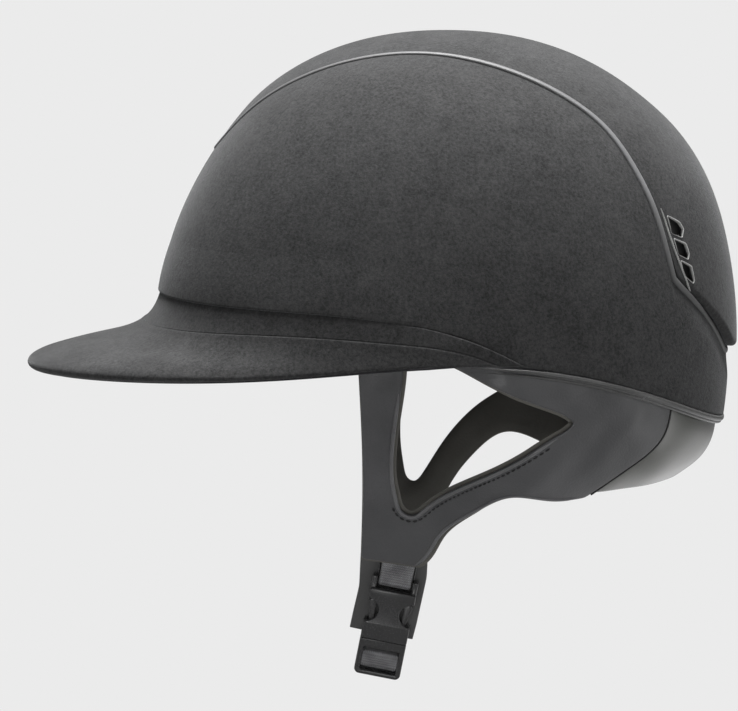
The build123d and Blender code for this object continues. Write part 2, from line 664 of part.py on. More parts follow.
prong_side = [(ramp(y), y) for y in (WINDOW_START, 11.5, 14.5, PRONG_TIP - 2.2)]
prong_inner = prong_outer - PRONG_WIDTH
prong_edges = [
    Line((prong_inner, -PRONG_HINGE), (prong_outer, -PRONG_HINGE)),
    Line((prong_outer, -PRONG_HINGE), prong_side[0]),
    Spline(*prong_side),
    ThreePointArc(prong_side[-1], (prong_outer + 1.1, PRONG_TIP - 0.4), (prong_outer - 0.6, PRONG_TIP)),
    Line((prong_outer - 0.6, PRONG_TIP), (prong_inner, PRONG_TIP - 1)),
    Line((prong_inner, PRONG_TIP - 1), (prong_inner, -PRONG_HINGE)),
]
prong = make_face(prong_edges) + Pos(hinge_across, -PRONG_HINGE) * Circle(PRONG_WIDTH / 2)
prong = slab(prong, -prong_face, prong_face)
save("prong_rear", BUCKLE * prong)
save("prong_front", BUCKLE * mirror(prong, about=Plane.YZ))

tongue_face = TONGUE_THICKNESS / 2
slot_half = WEBBING_WIDTH / 2 + 0.6
upper_slot_top = -PRONG_HINGE - PRONG_WIDTH / 2 - 1.3
bar_top = upper_slot_top - TONGUE_SLOT
bar_bottom = bar_top - TONGUE_BAR
base = rectangle(-HALF, HALF, -TONGUE_LENGTH, -PRONG_CLEARANCE)
base = fillet(base.vertices().group_by(Axis.Y)[0], 2.5)
base -= rectangle(-slot_half, slot_half, bar_top, upper_slot_top)
base -= rectangle(-slot_half, slot_half, bar_bottom - TONGUE_SLOT, bar_bottom)
tongue = slab(base, -tongue_face, tongue_face)
tongue -= slab(rectangle(-slot_half, slot_half, bar_bottom, bar_top), tongue_face - 1.8, REACH)
pocket = Pos(hinge_across, -PRONG_HINGE) * Circle(PRONG_WIDTH / 2 + PRONG_CLEARANCE)
pocket += rectangle(prong_inner - 1, prong_outer + PRONG_CLEARANCE, -PRONG_HINGE, 1)
pocket_face = prong_face + PRONG_CLEARANCE
tongue -= slab(pocket, -pocket_face, pocket_face)
tongue -= slab(mirror(pocket, about=Plane.YZ), -pocket_face, pocket_face)
guide = rectangle(-GUIDE_HALF_WIDTH, GUIDE_HALF_WIDTH, -PRONG_CLEARANCE - 1, GUIDE_LENGTH)
tongue += slab(guide, -prong_face, prong_face)
save("buckle_tongue", BUCKLE * tongue)

# ---------------------------------------------------------------- webbing and guard


def strap_slab(profile, width):
    """Profile in the buckle's length and depth, made into a strap of a width."""
    return extrude(Plane.YZ * profile, amount=width / 2, both=True)


wrap_low = bar_bottom - GLUE
wrap_high = bar_top + GLUE
wrap_front = tongue_face - 1.8 + GLUE
turn = rectangle(wrap_low - WEBBING, wrap_high + WEBBING, -tongue_face, wrap_front + WEBBING)
turn -= rectangle(wrap_low, wrap_high, -tongue_face, wrap_front)
save("ladder_webbing", BUCKLE * strap_slab(turn, WEBBING_WIDTH))



def round_hull(*discs):
    """Hull of discs given as (along, depth, radius)."""
    edges = []
    for along_buckle, depth, radius in discs:
        edges += (Pos(along_buckle, depth) * Circle(radius)).edges()
    return make_hull(edges)


bar_depth = -FACE + 0.8 + BAR_RADIUS
eye = BAR_RADIUS + GLUE
loop = round_hull((BAR_AT, bar_depth, eye + WEBBING), (SOCKET_LENGTH + 12, -1.2, WEBBING))
loop -= round_hull((BAR_AT, bar_depth, eye), (BAR_AT + 7, -0.6, 0.1))
save("webbing_loop", BUCKLE * strap_slab(loop, WEBBING_WIDTH - 0.6))

flap_at = -FACE - SEAM_GAP - 0.6 - FLAP_THICKNESS / 2
flap_line = FilletPolyline((62, 3.9), (54, 2.4), (46, -3.9), (30, flap_at), (2, flap_at), radius=6)
save("buckle_guard", BUCKLE * strap_slab(trace(flap_line, line_width=FLAP_THICKNESS), FLAP_WIDTH))

# Chin webbing: from the back of the tongue, under the chin, to the inside of the right hem
chin_start = BUCKLE * Pos(0, wrap_low - WEBBING / 2, -tongue_face - SEAM_GAP - WEBBING / 2)
chin_from = chin_start.position
chin_to = Vector(EAR_BOTTOM + 8, -25.5, -HEM_DROP + 4)
chord = chin_to - chin_from
run = chord.length
along = chord.normalized()
broad = (Vector(1, 0, 0) - along * along.X).normalized()
CHIN = Plane(origin=chin_from, x_dir=along, z_dir=broad)
route = [(0, 0), (0.04 * run, 0.13 * run), (0.3 * run, 0.24 * run), (0.65 * run, 0.16 * run), (run, 0)]
chin_line = FilletPolyline(*route, radius=(5, 10, 26))
chin = extrude(trace(chin_line, line_width=WEBBING), amount=WEBBING_WIDTH / 2, both=True)
save("chin_webbing", CHIN * chin)
print("chin webbing length", round(chin_line.length, 1))
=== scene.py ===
import math

import bmesh
import bpy
import numpy as np
from mathutils import Matrix, Vector


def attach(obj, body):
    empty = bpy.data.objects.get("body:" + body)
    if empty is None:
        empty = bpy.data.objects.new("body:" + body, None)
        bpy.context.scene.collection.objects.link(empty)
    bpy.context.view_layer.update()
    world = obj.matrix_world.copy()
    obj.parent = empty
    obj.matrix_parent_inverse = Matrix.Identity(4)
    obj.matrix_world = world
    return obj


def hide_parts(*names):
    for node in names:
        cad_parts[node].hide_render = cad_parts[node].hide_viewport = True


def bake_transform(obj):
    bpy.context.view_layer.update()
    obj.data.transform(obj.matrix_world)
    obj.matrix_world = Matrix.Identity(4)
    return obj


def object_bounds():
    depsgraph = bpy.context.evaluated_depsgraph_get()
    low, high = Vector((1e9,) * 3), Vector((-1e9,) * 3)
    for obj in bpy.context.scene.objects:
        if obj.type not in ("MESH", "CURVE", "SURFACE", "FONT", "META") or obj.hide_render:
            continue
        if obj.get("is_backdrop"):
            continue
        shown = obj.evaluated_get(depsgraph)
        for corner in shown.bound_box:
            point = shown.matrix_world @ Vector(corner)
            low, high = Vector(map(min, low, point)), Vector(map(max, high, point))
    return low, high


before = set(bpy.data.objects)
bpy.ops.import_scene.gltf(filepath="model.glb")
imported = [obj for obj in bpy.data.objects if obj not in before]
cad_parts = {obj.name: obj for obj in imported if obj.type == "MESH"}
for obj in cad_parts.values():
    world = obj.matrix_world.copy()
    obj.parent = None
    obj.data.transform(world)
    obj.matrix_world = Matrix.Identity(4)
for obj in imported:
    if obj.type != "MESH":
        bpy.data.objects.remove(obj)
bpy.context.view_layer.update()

# ------------------------------------------------------------------ shell cover
# Charcoal microfibre suede glued over the moulded shell. One skin wraps the brow and both
# sides; its upper edge rolls into the crown seam and its lower edge meets the rim piping.

FRONT = 0.1353
REAR = 0.1330
HALF_WIDTH = 0.1040
HEIGHT = 0.1490
ROUND = 2.2
COVER_THICKNESS = 0.0020
CROWN_SEAM = 0.0025
COLUMNS = 640


def running(line):
    """Length along a line at each of its points."""
    return np.concatenate([[0], np.cumsum(np.linalg.norm(np.diff(line, axis=0), axis=1))])


def read_line(line, run, at):
    """Values of a line at running lengths, in straight runs between its points."""
    return np.stack([np.interp(at, run, axis) for axis in line.T], axis=-1)


def even(line, count):
    """Points at even arc length along a line."""
    run = running(line)
    return read_line(line, run, np.linspace(0, run[-1], count))


def smooth_curve(points, count=400):
    """Natural cubic spline through a few points, against chord length: on each span the second
    derivative runs in a straight line between the values that make the slopes meet."""
    points = np.asarray(points, float)
    knots = running(points)
    steps = np.diff(knots)
    matrix = np.eye(len(points))
    for row in range(1, len(points) - 1):
        matrix[row, row - 1:row + 2] = steps[row - 1], 2 * (steps[row - 1] + steps[row]), steps[row]
    right = np.zeros_like(points)
    right[1:-1] = 6 * np.diff(np.diff(points, axis=0) / steps[:, None], axis=0)
    bend = np.linalg.solve(matrix, right)
    at = np.linspace(0, knots[-1], 12 * count)
    span = np.clip(np.searchsorted(knots, at, side="right") - 1, 0, len(points) - 2)
    before = ((knots[span + 1] - at) / steps[span])[:, None]
    after = 1 - before
    sixth = (steps[span] ** 2 / 6)[:, None]
    curve = before * points[span] + after * points[span + 1]
    curve += sixth * ((before ** 3 - before) * bend[span] + (after ** 3 - after) * bend[span + 1])
    return even(curve, count)


def height_line(points):
    """Height of a smooth side-view line at any distance ahead of the origin."""
    curve = smooth_curve(points)
    curve = curve[np.argsort(curve[:, 0])]
    return lambda ahead: np.interp(ahead, curve[:, 0], curve[:, 1])


def ease(share):
    """Smooth change from 0 to 1: 3s^2 - 2s^3."""
    share = np.clip(share, 0, 1)
    return share * share * (3 - 2 * share)


def level_share(height):
    """Radius of the dome at a height over its radius at the origin: (1 - |z/H|^n)^(1/n)."""
    return np.clip(1 - np.abs(height / HEIGHT) ** ROUND, 0, None) ** (1 / ROUND)


def climb_at(height):
    """Climb angle of a height on the dome: sin(climb) = |z/H|^(n/2), with the height's sign."""
    return np.sign(height) * np.arcsin(np.clip(np.abs(height / HEIGHT), 0, 1) ** (ROUND / 2))


lean_back = height_line([(0.0, 0.0), (0.021, 0.0002), (0.045, 0.0006), (0.069, 0.0019), (0.093, 0.0028),
                         (0.108, 0.0022), (0.117, 0.0012), (0.130, 0.0004), (0.149, 0.0)])
TOP_DROP = 0.0011


def settle(points):
    """Lean of the real shell: its upper half lies up to 3 mm further back than an upright
    ellipse, and its top is d(z/H)^2 lower."""
    height = np.clip(points[..., 2], 0, None)
    shift = np.stack([lean_back(height), 0 * height, TOP_DROP * (height / HEIGHT) ** 2], axis=-1)
    return points - shift


def dome_point(around, climb, inset=0.0, rear=REAR, half_width=HALF_WIDTH):
    """Point of the dome. The plan radius is an ellipse times cos(climb)^(2/n), and the height
    is H sin(climb)^(2/n)."""
    share = np.abs(np.cos(climb)) ** (2 / ROUND)
    level = np.sign(np.sin(climb)) * np.abs(np.sin(climb)) ** (2 / ROUND)
    ahead = np.where(np.cos(around) > 0, FRONT, rear) - inset
    across = half_width - inset
    return settle(np.stack([ahead * np.cos(around) * share, across * np.sin(around) * share,
                            (HEIGHT - inset) * level], axis=-1))


PANEL_TIP = 0.1086
PANEL_SIDE = [(-0.1530, 0.0590), (-0.1180, 0.0593), (-0.1040, 0.0598), (-0.0990, 0.0600),
              (-0.0940, 0.0592), (-0.0840, 0.0572), (-0.0700, 0.0525), (-0.0530, 0.0495),
              (-0.0250, 0.0455), (0.0080, 0.0385), (0.0480, 0.0308), (0.0720, 0.0246),
              (0.0890, 0.0178), (0.0990, 0.0122), (0.1060, 0.0066)]
LIP_HEIGHT = 0.0016
LIP_HALF_WIDTH = 0.017
LIP_CORNER = (0.0376, 0.0315)
LIP_TURN = 2.2


def lip_low(side, grow):
    """Height of the panel's lower rear edge: level behind, then rising to its slanted corners."""
    out = np.clip(side - LIP_HALF_WIDTH, 0, None) / LIP_CORNER[0]
    return LIP_HEIGHT - 1.3 * grow + LIP_CORNER[1] * out ** 1.2


def unit(vectors):
    """Vectors brought to length 1."""
    return vectors / np.maximum(np.linalg.norm(vectors, axis=-1, keepdims=True), 1e-12)


def shifted(line, left):
    """Flat line moved to its own left by a distance."""
    along = unit(np.gradient(line, axis=0))
    return line + left * np.stack([-along[:, 1], along[:, 0]], axis=1)


def ringed(values, times):
    """Values round a ring, each averaged with its two neighbours a number of times."""
    for _ in range(times):
        values = (np.roll(values, 1, axis=-1) + 2 * values + np.roll(values, -1, axis=-1)) / 4
    return values


def past(around, start, width):
    """Smooth change from 0 at a turn from the brow to 1 a width further back."""
    return ease((np.abs(around) - start) / width)


def crown_edge(grow, rear=REAR, half_width=HALF_WIDTH):
    """Edge of the crown panel, grown outwards, as (around, climb) of even steps for a full turn
    that starts at the brow and runs over the left side. The plan outline is followed down to
    the lip's slanted corner, and the lip's own line closes it at the rear."""
    right = [(ahead, -across) for ahead, across in reversed(PANEL_SIDE)]
    outline = smooth_curve(PANEL_SIDE + [(PANEL_TIP, 0.0)] + right, 1201)
    outline = shifted(outline, grow)[600::-1]
    ahead = np.where(outline[:, 0] > 0, FRONT, rear)
    share = np.hypot(outline[:, 0] / ahead, outline[:, 1] / half_width)
    around = np.arctan2(outline[:, 1] / half_width, outline[:, 0] / ahead)
    inside = share < 0.9999
    around, climb = around[inside], np.arccos(share[inside] ** (ROUND / 2))
    height = HEIGHT * np.sin(climb) ** (2 / ROUND)
    side = half_width * np.sin(around) * np.cos(climb) ** (2 / ROUND)
    keep = (height > lip_low(side, grow)) | (around < LIP_TURN)
    around, climb, side = around[keep], climb[keep], side[keep]
    across = np.linspace(side[-1], 0, 200)
    low = lip_low(across, grow)
    lip_around = np.pi - np.arcsin(across / (half_width * level_share(low)))
    around = np.concatenate([around, lip_around[1:]])
    climb = np.concatenate([climb, climb_at(low)[1:]])
    run = running(dome_point(around, climb, 0, rear, half_width))
    at = np.linspace(0, run[-1], COLUMNS // 2 + 1)
    around, climb = np.interp(at, run, around), np.interp(at, run, climb)
    around = np.concatenate([around, -around[-2:0:-1]])
    climb = np.concatenate([climb, climb[-2:0:-1]])
    return around, climb + (ringed(climb, 50) - climb) * past(around, LIP_TURN + 0.05, 0.15)


def edge_lengths(face):
    """Share of the way along each column of a grid, and each column's length."""
    steps = np.linalg.norm(np.diff(face, axis=0), axis=2)
    run = np.vstack([np.zeros((1, face.shape[1])), np.cumsum(steps, axis=0)])
    return run / np.maximum(run[-1], 1e-9), run[-1]


def at_shares(grid, share_of_row, wanted):
    """Values of a grid at wanted shares along each column, in straight runs between its rows."""
    result = np.empty((len(wanted),) + grid.shape[1:])
    for column in range(grid.shape[1]):
        for axis in range(grid.shape[2]):
            result[:, column, axis] = np.interp(
                wanted[:, column], share_of_row[:, column], grid[:, column, axis])
    return result


def outward(face, centre):
    """Unit normals of a grid, from the cross product of its two directions, away from a centre."""
    normal = np.cross(np.gradient(face, axis=1), np.gradient(face, axis=0))
    size = np.linalg.norm(normal, axis=2, keepdims=True)
    bare = size[..., 0] < 1e-12
    normal = normal / np.maximum(size, 1e-12)
    if np.mean(np.sum(normal * (face - np.asarray(centre)), axis=2)) < 0:
        normal = -normal
    for row in range(1, len(face)):
        normal[row][bare[row]] = normal[row - 1][bare[row]]
    return normal


def corners(values):
    """Values at the four corners of each quad of a grid."""
    return np.stack([values[:-1, :-1], values[:-1, 1:], values[1:, 1:], values[1:, :-1]], axis=2)


def weld(mesh, near, sliver=0.0, flat=0.0, face_out=True):
    """Merge a mesh's points that are near each other, dissolve its slivers or its flat edges
    where asked, and face its faces outwards."""
    whole = bmesh.new()
    whole.from_mesh(mesh)
    bmesh.ops.remove_doubles(whole, verts=whole.verts, dist=near)
    if sliver:
        bmesh.ops.dissolve_degenerate(whole, edges=whole.edges, dist=sliver)
    if flat:
        bmesh.ops.dissolve_limit(whole, angle_limit=flat, verts=whole.verts, edges=whole.edges)
    if face_out:
        bmesh.ops.recalc_face_normals(whole, faces=whole.faces)
    whole.to_mesh(mesh)
    whole.free()


def stand(name, data):
    """Object of a mesh, a light or a camera, placed in the scene."""
    piece = bpy.data.objects.new(name, data)
    bpy.context.scene.collection.objects.link(piece)
    return piece


def surface(name, grid, around=False, closed=False, caps=False):
    """Mesh of a grid of points, with its running lengths in metres as its UV map. around joins
    the last column to the first, closed the last row to the first, and caps fans both ends shut."""
    index = np.arange(grid[..., 0].size).reshape(grid.shape[:2])
    wide = grid
    if closed:
        index, wide = np.vstack([index, index[:1]]), np.concatenate([wide, wide[:1]], axis=0)
    if around:
        index, wide = np.hstack([index, index[:, :1]]), np.concatenate([wide, wide[:, :1]], axis=1)
    over, up = running(wide[wide.shape[0] // 3]), running(wide[:, wide.shape[1] // 2])
    quads = corners(index).reshape(-1, 4)
    maps = corners(np.stack(np.meshgrid(over, up), axis=-1)).reshape(-1, 4, 2)
    points = grid.reshape(-1, 3)
    a, b, c, d = (points[quads[:, k]] for k in range(4))
    inside_out = np.sum(np.cross(b - a, c - a) * a) + np.sum(np.cross(c - a, d - a) * a) < 0
    if inside_out:
        quads, maps = quads[:, ::-1], maps[:, ::-1]
    faces, maps = quads.tolist(), maps.reshape(-1, 2)
    for column in (0, grid.shape[1] - 1) if caps else ():
        low, high = index[:-1, column], index[1:, column]
        hub = np.full_like(low, len(points))
        points = np.vstack([points, grid[:, column].mean(axis=0)])
        fan = [low, high, hub] if (column == 0) != inside_out else [high, low, hub]
        faces += np.stack(fan, axis=1).tolist()
        maps = np.vstack([maps, np.zeros((3 * len(low), 2))])
    mesh = bpy.data.meshes.new(name)
    mesh.from_pydata(points.tolist(), [], faces)
    mesh.uv_layers.new(name="lengths").data.foreach_set("uv", maps.ravel())
    weld(mesh, 2e-7, sliver=1e-7, face_out=caps)
    mesh.shade_smooth()
    return stand(name, mesh)


def sunk_grid(face, normal, share, wanted, depth):
    """Face read at wanted shares of its columns and sunk along its normals by a depth."""
    inward = unit(at_shares(normal, share, wanted))
    return at_shares(face, share, wanted) - inward * depth[..., None]


def layer(name, face, thickness, roll, centre=(0, 0, 0), around=False, *, rows):
    """Closed piece of a thickness under an outer face. Both long edges are rolled: a row at
    angle a lies r(1 - cos a) in from the edge and r(1 - sin a) below the face."""
    share, length = edge_lengths(face)
    angle = np.radians(np.linspace(0, 90, 6))
    roll = np.minimum(roll, length / 3)
    near = np.outer(1 - np.cos(angle), roll / np.maximum(length, 1e-9))
    down = np.outer(1 - np.sin(angle), roll)
    inner = np.linspace(0, 1, rows)[1:-1, None]
    middle = near[-1] + inner * (1 - 2 * near[-1])
    back = 0.98 - 0.96 * np.linspace(0, 1, max(rows // 5, 4))[:, None] * np.ones_like(length)
    back = near[2] + (1 - 2 * near[2]) * back
    wanted = np.vstack([near, middle, 1 - near[::-1], back])
    depth = np.vstack([down, np.zeros_like(middle), down[::-1],
                       np.ones_like(back) * np.minimum(thickness, length / 2)])
    grid = sunk_grid(face, outward(face, centre), share, wanted, depth)
    return surface(name, grid, around=around, closed=True, caps=not around)


def put(tree, kind, inputs=None, **settings):
    """Add a shader node of a kind. inputs are values or linked sockets, settings its options."""
    node = tree.nodes.new("ShaderNode" + kind)
    for name, value in settings.items():
        setattr(node, name, value)
    for key, value in (inputs or {}).items():
        if isinstance(value, bpy.types.NodeSocket):
            tree.links.new(value, node.inputs[key])
        else:
            node.inputs[key].default_value = value
    return node


def calc(tree, operation, *values):
    """Arithmetic on one or two values or sockets."""
    return put(tree, "Math", dict(enumerate(values)), operation=operation).outputs[0]


def span(tree, value, low, high, to_low=0.0, to_high=1.0):
    """Value carried from its run between low and high to another run, and held at its ends."""
    runs = {"From Min": low, "From Max": high, "To Min": to_low, "To Max": to_high}
    return put(tree, "MapRange", {"Value": value, **runs}).outputs[0]


def placed(tree):
    """Object coordinates: metres in the shared frame."""
    return put(tree, "TexCoord").outputs["Object"]


def noise(tree, scale, detail, rough=0.5, distortion=0.0):
    """Noise on Object coordinates."""
    inputs = {"Vector": placed(tree), "Scale": scale, "Detail": detail, "Roughness": rough,
              "Distortion": distortion}
    return put(tree, "TexNoise", inputs).outputs[0]


def cells(tree, scale, kind="F1", spread=1.0, place=None):
    """Outputs of a cell pattern on Object coordinates, or on others."""
    inputs = {"Vector": place or placed(tree), "Scale": scale, "Randomness": spread}
    return put(tree, "TexVoronoi", inputs, feature=kind).outputs


def sum_of(tree, *pairs):
    """Weighted sum of sockets, each given as (socket, weight)."""
    total, *rest = [calc(tree, "MULTIPLY", socket, weight) for socket, weight in pairs]
    for part in rest:
        total = calc(tree, "ADD", total, part)
    return total


def pattern(name, scale, draw):
    """Node group that takes a scale and gives the shade and the height that draw returns."""
    tree = bpy.data.node_groups.new(name, "ShaderNodeTree")
    for label, way in (("Scale", "INPUT"), ("Shade", "OUTPUT"), ("Height", "OUTPUT")):
        socket = tree.interface.new_socket(label, in_out=way, socket_type="NodeSocketFloat")
        if way == "INPUT":
            socket.default_value = scale
    given, made = tree.nodes.new("NodeGroupInput"), tree.nodes.new("NodeGroupOutput")
    for label, socket in zip(("Shade", "Height"), draw(tree, given.outputs["Scale"])):
        tree.links.new(socket, made.inputs[label])
    return tree


def nap(tree, scale):
    """Suede nap: broad brushed patches and fine fibres, as a shade about 0.5 and a height."""
    patches = noise(tree, scale, 6.0, 0.66, 0.5)
    flecks = noise(tree, calc(tree, "MULTIPLY", scale, 5.0), 6.0, 0.78, 0.3)
    fibres = noise(tree, 700.0, 4.0, 0.8)
    shade = sum_of(tree, (patches, 0.45), (flecks, 0.4), (fibres, 1.15))
    return calc(tree, "SUBTRACT", shade, 0.5), sum_of(tree, (fibres, 1.0), (flecks, 0.5))


NAP = pattern("suede_nap", 40.0, nap)


def shade_mix(tree, factor, low, dark, high, light):
    """Colour that runs from dark at a low factor to light at a high one. One number is a grey."""
    dark, light = ((*np.broadcast_to(tint, 3), 1) for tint in (dark, light))
    ends = {"Factor": span(tree, factor, low, high), "A": dark, "B": light}
    return put(tree, "Mix", ends, data_type="RGBA").outputs["Result"]


def material(name, **finish):
    """Empty material, with constants set on the sockets of its own shader."""
    made = bpy.data.materials.new(name)
    made.use_nodes = True
    tree = made.node_tree
    shader = tree.nodes["Principled BSDF"]
    for key, value in finish.items():
        shader.inputs[key.replace("_", " ")].default_value = value
    return made, tree, shader


def painted(parts, colours, polish, relief):
    """Material with its colour, roughness and relief linked. Each is given as a socket and the
    values of shade_mix, of span, or of the bump's strength and distance."""
    made, tree, shader = parts
    bump = dict(zip(("Height", "Strength", "Distance"), relief))
    tree.links.new(shade_mix(tree, *colours), shader.inputs["Base Color"])
    if polish:
        tree.links.new(span(tree, *polish), shader.inputs["Roughness"])
    tree.links.new(put(tree, "Bump", bump).outputs[0], shader.inputs["Normal"])
    return made


def patterned(name, group, scale, colours, polish, relief, **finish):
    """Material painted with one of the pattern groups, at its own scale."""
    parts = material(name, **finish)
    drawn = put(parts[1], "Group", {"Scale": scale}, node_tree=group).outputs
    return painted(parts, (drawn["Shade"], *colours), (drawn["Shade"], *polish),
                   (drawn["Height"], *relief))


def suede(name, dark, light, patch_scale):
    """Brushed suede: napped colour, soft sheen at grazing angles and no gloss."""
    return patterned(name, NAP, patch_scale, (0.25, dark, 0.78, light), (0, 1, 0.82, 0.98),
                     (0.5, 0.0005), Sheen_Weight=0.17, Sheen_Roughness=0.42,
                     Sheen_Tint=(0.78, 0.79, 0.8, 1), Specular_IOR_Level=0.1)


SUEDE = suede("suede", (0.0155, 0.0155, 0.0157), (0.052, 0.052, 0.0527), 44.0)


def fit(piece, body, slot, finish, *stands_for):
    """Give a finished piece its material, its body and what it stands for."""
    piece.data.materials.append(finish)
    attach(piece, body)
    if stands_for:
        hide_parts(*stands_for)
    return piece


rim_height = height_line([(0.1653, 0.0010), (0.0609, 0.00325), (-0.0133, 0.0055), (-0.0545, 0.0005),
                          (-0.1011, -0.0149), (-0.1330, -0.0320), (-0.1530, -0.0440)])


def rim_climb(around, below=0.0):
    """Climb angle at which each meridian meets the rim, or a line a little below it."""
    climb = np.zeros_like(around)
    for _ in range(4):
        climb = climb_at(rim_height(dome_point(around, climb)[..., 0]) - below)
    return climb


def raised(face, height, centre=(0, 0, 0)):
    """Face moved outwards, away from a centre, by a height at each of its points."""
    return face + outward(face, centre) * height[..., None]


TUCK = 0.0011
TUCK_WIDTH = 0.013
around, seam_climb = crown_edge(CROWN_SEAM)
low_climb = rim_climb(around)
climb = low_climb + np.linspace(0, 1, 120)[:, None] * (seam_climb - low_climb)
skin = dome_point(around + 0 * climb, climb)
from_seam = np.linalg.norm(skin - skin[-1], axis=2)
tuck = ringed(TUCK * past(around, 2.3, 0.5) * (1 - ease(from_seam / TUCK_WIDTH)), 30)
cover = layer("suede_cover", raised(skin, -tuck), COVER_THICKNESS, 0.0004, around=True, rows=92)
fit(cover, "root", "suede", SUEDE, "shell_cover")

# ------------------------------------------------------------------ crown panel
# A separate moulded panel under the same suede. It runs from a rounded tip over the brow to
# a lip that overhangs the nape, and carries the gill vents beside its rear seam.

CROWN_REAR = 0.1368
CROWN_HALF_WIDTH = 0.0985
PANEL_THICKNESS = 0.0016
LIP_THICKNESS = 0.0046

around, edge_climb = crown_edge(0.0, CROWN_REAR, CROWN_HALF_WIDTH)
share = np.linspace(0, 1, 100)[:, None] ** 1.15
climb = edge_climb + share * (np.pi / 2 - edge_climb)
face = dome_point(around + 0 * climb, climb, 0.0, CROWN_REAR, CROWN_HALF_WIDTH)
normal = outward(face, (0, 0, 0))
normal[-1] = (0, 0, 1)
run, length = edge_lengths(face)
angle = np.radians(np.linspace(90, 0, 8))
lip = past(around, 2.55, 0.35)
slanted = past(around, 2.40, 0.15) * (1 - past(around, 2.80, 0.2))
roll = 0.0012 + 0.0010 * lip + 0.0016 * slanted
near = np.outer(1 - np.cos(angle), roll / length)
down = np.outer(1 - np.sin(angle), roll)
deep = PANEL_THICKNESS + (LIP_THICKNESS - PANEL_THICKNESS) * lip
back = np.linspace(0, 1, 16)[:, None] ** 1.4
upward = near[0] + (1 - near[0]) * np.linspace(0, 1, 96)[1:, None] ** 1.1
wanted = np.vstack([(near[-1] + (1 - near[-1]) * back)[::-1], near[::-1], upward])
sunk = np.vstack([deep * np.ones_like(back), down[::-1], np.zeros_like(upward)])
grid = sunk_grid(face, normal, run, wanted, sunk)
grid[0] = grid[0].mean(axis=0)
grid[-1] = grid[-1].mean(axis=0)
crown = surface("crown_suede", grid, around=True)

# ------------------------------------------------------------------ gill vents
# Three slanted openings on each side of the crown panel. A thin satin frame lines each one,
# a straight rib joins them along the seam, and a dark mesh closes them from inside.

VENT_CORNERS = [[(0.0560, 0.0674), (0.0519, 0.0640), (0.0510, 0.0606), (0.0529, 0.0569),
                 (0.0570, 0.0593)],
                [(0.0569, 0.0571), (0.0521, 0.0541), (0.0517, 0.0493), (0.0529, 0.0469),
                 (0.0568, 0.0496)],
                [(0.0565, 0.0470), (0.0521, 0.0438), (0.0519, 0.0372), (0.0527, 0.0359),
                 (0.0566, 0.0402)]]
VENT_LINE = [(0.0572, 0.0707), (0.0581, 0.0617), (0.0580, 0.0517), (0.0569, 0.0425),
             (0.0549, 0.0327)]
VENT_POINTS = 72
RIB_POINTS = 260
VENT_CUT = 0.006
FRAME_HALF = 0.00034
FRAME_PROUD = 0.00045
RIB_PROUD = 0.0005


def corner(last, here, following, softness, count):
    """Rounded corner: a parabola between points a share of the way along its two sides."""
    enter, leave = here + (last - here) * softness, here + (following - here) * softness
    step = np.linspace(0, 1, count)[:, None]
    return (1 - step) ** 2 * enter + 2 * step * (1 - step) * here + step ** 2 * leave


def rounded_loop(spots, softness, count):
    """Closed outline with rounded corners."""
    spots = np.asarray(spots, float)
    trios = zip(np.roll(spots, 1, axis=0), spots, np.roll(spots, -1, axis=0))
    line = np.vstack([corner(*trio, softness, 12) for trio in trios])
    return even(np.vstack([line, line[:1]]), count + 1)[:-1]


def carry(path, out, profile, loop=False):
    """Closed profile carried along a path. A profile point (a, b) lies a to the side of the
    path and b along its outward direction; the side is the cross product of the two."""
    along = np.gradient(path, axis=0)
    if loop:
        along = np.roll(path, -1, axis=0) - np.roll(path, 1, axis=0)
    side = unit(np.cross(along, out))
    rise = unit(np.cross(side, along))
    rise *= np.sign(np.sum(rise * out, axis=1, keepdims=True))
    return path + profile[:, None, :1] * side + profile[:, None, 1:2] * rise


def round_profile(half_width, high, low, count, power=2.0):
    """Closed superellipse profile with its own height above and depth below the path."""
    angle = np.linspace(0, 2 * np.pi, count, endpoint=False)
    across = half_width * np.sign(np.cos(angle)) * np.abs(np.cos(angle)) ** (2 / power)
    tall = np.sign(np.sin(angle)) * np.abs(np.sin(angle)) ** (2 / power)
    return np.stack([across, np.where(tall > 0, high * tall, low * tall)], axis=1)


def cord(name, path, out, profile, size=None, proud=0.0, loop=False):
    """Piece made by carrying a profile along a path, as a ring or with both ends shut. It may
    stand proud of the path, and be drawn in to it or swollen by a size at each point."""
    roll = carry(path + out * proud, out, profile, loop)
    if size is not None:
        roll = path + (roll - path) * size[None, :, None]
    return surface(name, roll, around=loop, closed=True, caps=not loop)


def join(name, parts):
    """One piece from several: their meshes are joined and the parts removed."""
    whole = bmesh.new()
    for part in parts:
        whole.from_mesh(part.data)
        bpy.data.objects.remove(part)
    mesh = bpy.data.meshes.new(name)
    whole.to_mesh(mesh)
    whole.free()
    mesh.shade_smooth()
    return stand(name, mesh)


def mirror_y(piece, name):
    """Copy of a left-hand piece on the right: y changes sign and the faces are turned back."""
    mesh = piece.data.copy()
    mesh.transform(Matrix.Scale(-1, 4, (0, 1, 0)))
    mesh.flip_normals()
    mesh.name = name
    return stand(name, mesh)


def on_side(piece, side):
    """A left-hand piece as it is, or mirrored in its place for the right."""
    if side == "left":
        return piece
    name = piece.name
    twin = mirror_y(piece, name + "_twin")
    bpy.data.objects.remove(piece)
    twin.name = name
    return twin


def on_crown(spots):
    """Points of the crown panel's rear half, given as (across, height)."""
    spots = np.asarray(spots, float)
    share = level_share(spots[:, 1]) ** 2 - (spots[:, 0] / CROWN_HALF_WIDTH) ** 2
    ahead = -CROWN_REAR * np.sqrt(np.clip(share, 0, None))
    return settle(np.stack([ahead, spots[:, 0], spots[:, 1]], axis=-1))


